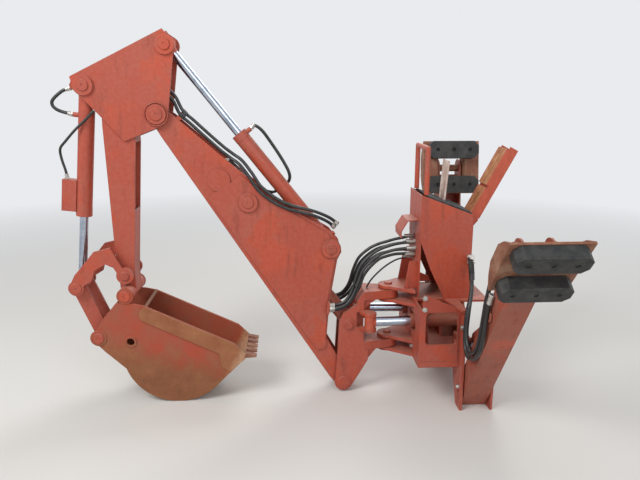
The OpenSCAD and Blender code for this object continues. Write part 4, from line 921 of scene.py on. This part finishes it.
# Pins that lie along the machine, in metres: their ends' distance from the joint, radius and lift
sidePins = {"footCaps": ("foot_", "foot_", 0.0923, 0.036, 0.006),
            "legPinCaps": ("leg_barrel_turn_", "leg_", 0.077, 0.028, 0.006)}
# The swing post's upright pins: height in millimetres and which way they face
kingPins = {"ends": ((636, 1), (228, -1)), "radius": 0.022, "lift": 0.006}


def addCap(shape, place, radius, lift):
    c, recess, edge, floor = cap["chamfer"], cap["recess"], cap["recessEdge"], lift - cap["depth"]
    addTurned(shape, place, [(0, -edge), (radius, -edge), (radius, lift - c), (radius - c, lift),
                             (recess + edge, lift), (recess, lift - edge), (recess, floor), (0, floor)])


def makeCaps():
    # dark_paint is the orange paint darkened by painted shade, with more wear
    orange, shadeDarkenedPaint = materials["orange_paint"], materials["dark_paint"]
    for body in dict.fromkeys(row[0] for row in pins):
        shape = bmesh.new()
        for owner, line, (along, square), face, radius, lift in pins:
            if owner == body:
                for s in (-1, 1):
                    place = facing(onLine(line, (along, square, s * face)), (0, s, 0))
                    addCap(shape, place, radius / 1000, lift / 1000)
        finishShape(body.replace("_", "") + "Caps", shape, orange, body)
    for side in legs:
        for name, (joint, body, reach, radius, lift) in sidePins.items():
            shape = bmesh.new()
            for turn in (-1, 1):
                end = jointAt[joint + side] + Vector((turn * reach, 0, 0))
                addCap(shape, facing(end, (turn, 0, 0)), radius, lift)
            finishShape(name + side.capitalize(), shape, shadeDarkenedPaint, body + side)
    shape = bmesh.new()
    for height, turn in kingPins["ends"]:
        addCap(shape, facing(onMachine((0, 0, height)), (0, 0, turn)), kingPins["radius"], kingPins["lift"])
    finishShape("kingPinCaps", shape, orange, "root")


# Bolts: hexagon heads on washers. Rows: place in millimetres, direction, size
bolt = {"Sides": 6, "Head Width": 0.026, "Head Height": 0.011, "Chamfer": 0.0015, "Washer Width": 0.032,
        "Washer Height": 0.003, "Turn Seed": 7}
boltRows = [((152, s * 292, z), (0, s, 0), 0.9) for s in (-1, 1) for z in (640, 575)]
boltRows += [((356, y, z), (-1, 0, 0), 1.0) for y, z in ((-335, 485), (-310, 127), (335, 485), (310, 127))]
boltRows += [((128, s * 121, 296), (-1, 0, 0), 0.9) for s in (-1, 1)]


def makeBolts():
    rows = [(onMachine(place), direction, size) for place, direction, size in boltRows]
    grow("frameBolts", trees["studs"], pointMesh(rows), dict(bolt, Finish=materials["zinc"]), "root")


# Weld beads: rippled, painted over. Rings run round the bosses, with their centre along and square to the
# line, radius and face, and seams from point to point of the frame, in millimetres
weld = {"Bead Width": 0.007, "Step": 0.004, "Ripple": 0.003}
weldRings = {
    "boom": (boomLine, "orange_paint", [((1188, -134), 53, 74), ((717, -372), 53, 74)]),
    "dipper": (dipperLine, "orange_paint", [((0, 0), 60, 81), ((-356, -14), 47, 81), ((-66, -385), 47, 81)]),
    "bucket": (bucketLine, "rusty_steel", [((0, 0), 43, 150.3), ((-34, -287), 43, 150.3),
                                           ((131, -231), 33, 150.3)])}
weldSeams = []
for s in (-1, 1):
    weldSeams += [((145, s * 150, 588), (292, s * 150, 588)), ((142, s * 292, 276), (350, s * 292, 276)),
                  ((342, s * 292, 276), (342, s * 292, 540))]
weldSeams.append(((145, -150, 588), (145, 150, 588)))


def ringPath(line, centre, radius, face, count=40):
    return [onLine(line, (centre[0] + radius * math.cos(a), centre[1] + radius * math.sin(a), face))
            for a in (2 * math.pi * i / count for i in range(count))]


def straight(start, end, step=0.02):
    count = max(2, int((end - start).length / step))
    return [start.lerp(end, i / count) for i in range(count + 1)]


def makeWelds():
    for body, (line, slot, bosses) in weldRings.items():
        paths = [(ringPath(line, centre, radius, s * face), True)
                 for centre, radius, face in bosses for s in (-1, 1)]
        finish = materials.get(body) or materials[slot]
        grow(body + "Welds", trees["beads"], pathMesh(paths), dict(weld, Finish=finish), body)
    seams = [(straight(onMachine(start), onMachine(end)), False) for start, end in weldSeams]
    grow("frameWelds", trees["beads"], pathMesh(seams), dict(weld, Finish=materials["orange_paint"]), "root")


# Strap that holds the pair of hoses on the boom: place along the boom, across and square to it, and size
strap = {"at": (1.760, -0.030, -0.112), "size": (0.024, 0.026, 0.044)}


def makeStrap():
    shape = bmesh.new()
    addBlock(shape, boomLine @ Matrix.Translation(strap["at"]), strap["size"])
    finishShape("hoseStrap", shape, materials["black_sheet"], "boom")


# Rubber pads: sunk bolts along the face that stands on the ground when the foot is down
padBolts = {"along": (-0.1, 0, 0.1), "across": (-0.1065, 0.1065), "face": 0.154, "radius": 0.011,
            "rim": 0.015, "lift": 0.0008, "edge": 0.001, "sides": 20}


def makePadBolts():
    r, rim, lift, edge = padBolts["radius"], padBolts["rim"], padBolts["lift"], padBolts["edge"]
    rimProfile = [(r, -edge), (rim, -edge), (rim - edge, 2 * lift), (r + edge, 2 * lift), (r, -edge)]
    for side, leg in legs.items():
        recessShades, rims = bmesh.new(), bmesh.new()
        outward = footLine[side].to_3x3() @ Vector((0, leg["side"], 0))
        for x in padBolts["along"]:
            for z in padBolts["across"]:
                place = facing(footLine[side] @ Vector((x, leg["side"] * padBolts["face"], z)), outward)
                # A near-black disc of painted shade in each bolt's recess
                addTurned(recessShades, place, [(0, -edge), (r, -edge), (r, lift), (0, lift)], padBolts["sides"])
                addTurned(rims, place, rimProfile, padBolts["sides"])
        finishShape("padRecessShade" + side.capitalize(), recessShades, materials["hole"], "foot_" + side)
        finishShape("padRims" + side.capitalize(), rims, materials["rubber"], "foot_" + side)


makeCamera()
materials = makeMaterials()
dressSolids(materials)
makeStudio()
print("stage: materials, floor and light")
trees = {"studs": studTree(), "beads": beadTree(), "coils": coilTree()}
makeArch()
makeBoomHoses()
makeBucketHoses()
makeLegHoses()
print("stage: hoses")
makeCaps()
makeBolts()
makeStrap()
makePadBolts()
print("stage: pins and bolts")
makeWelds()
print("stage: welds")
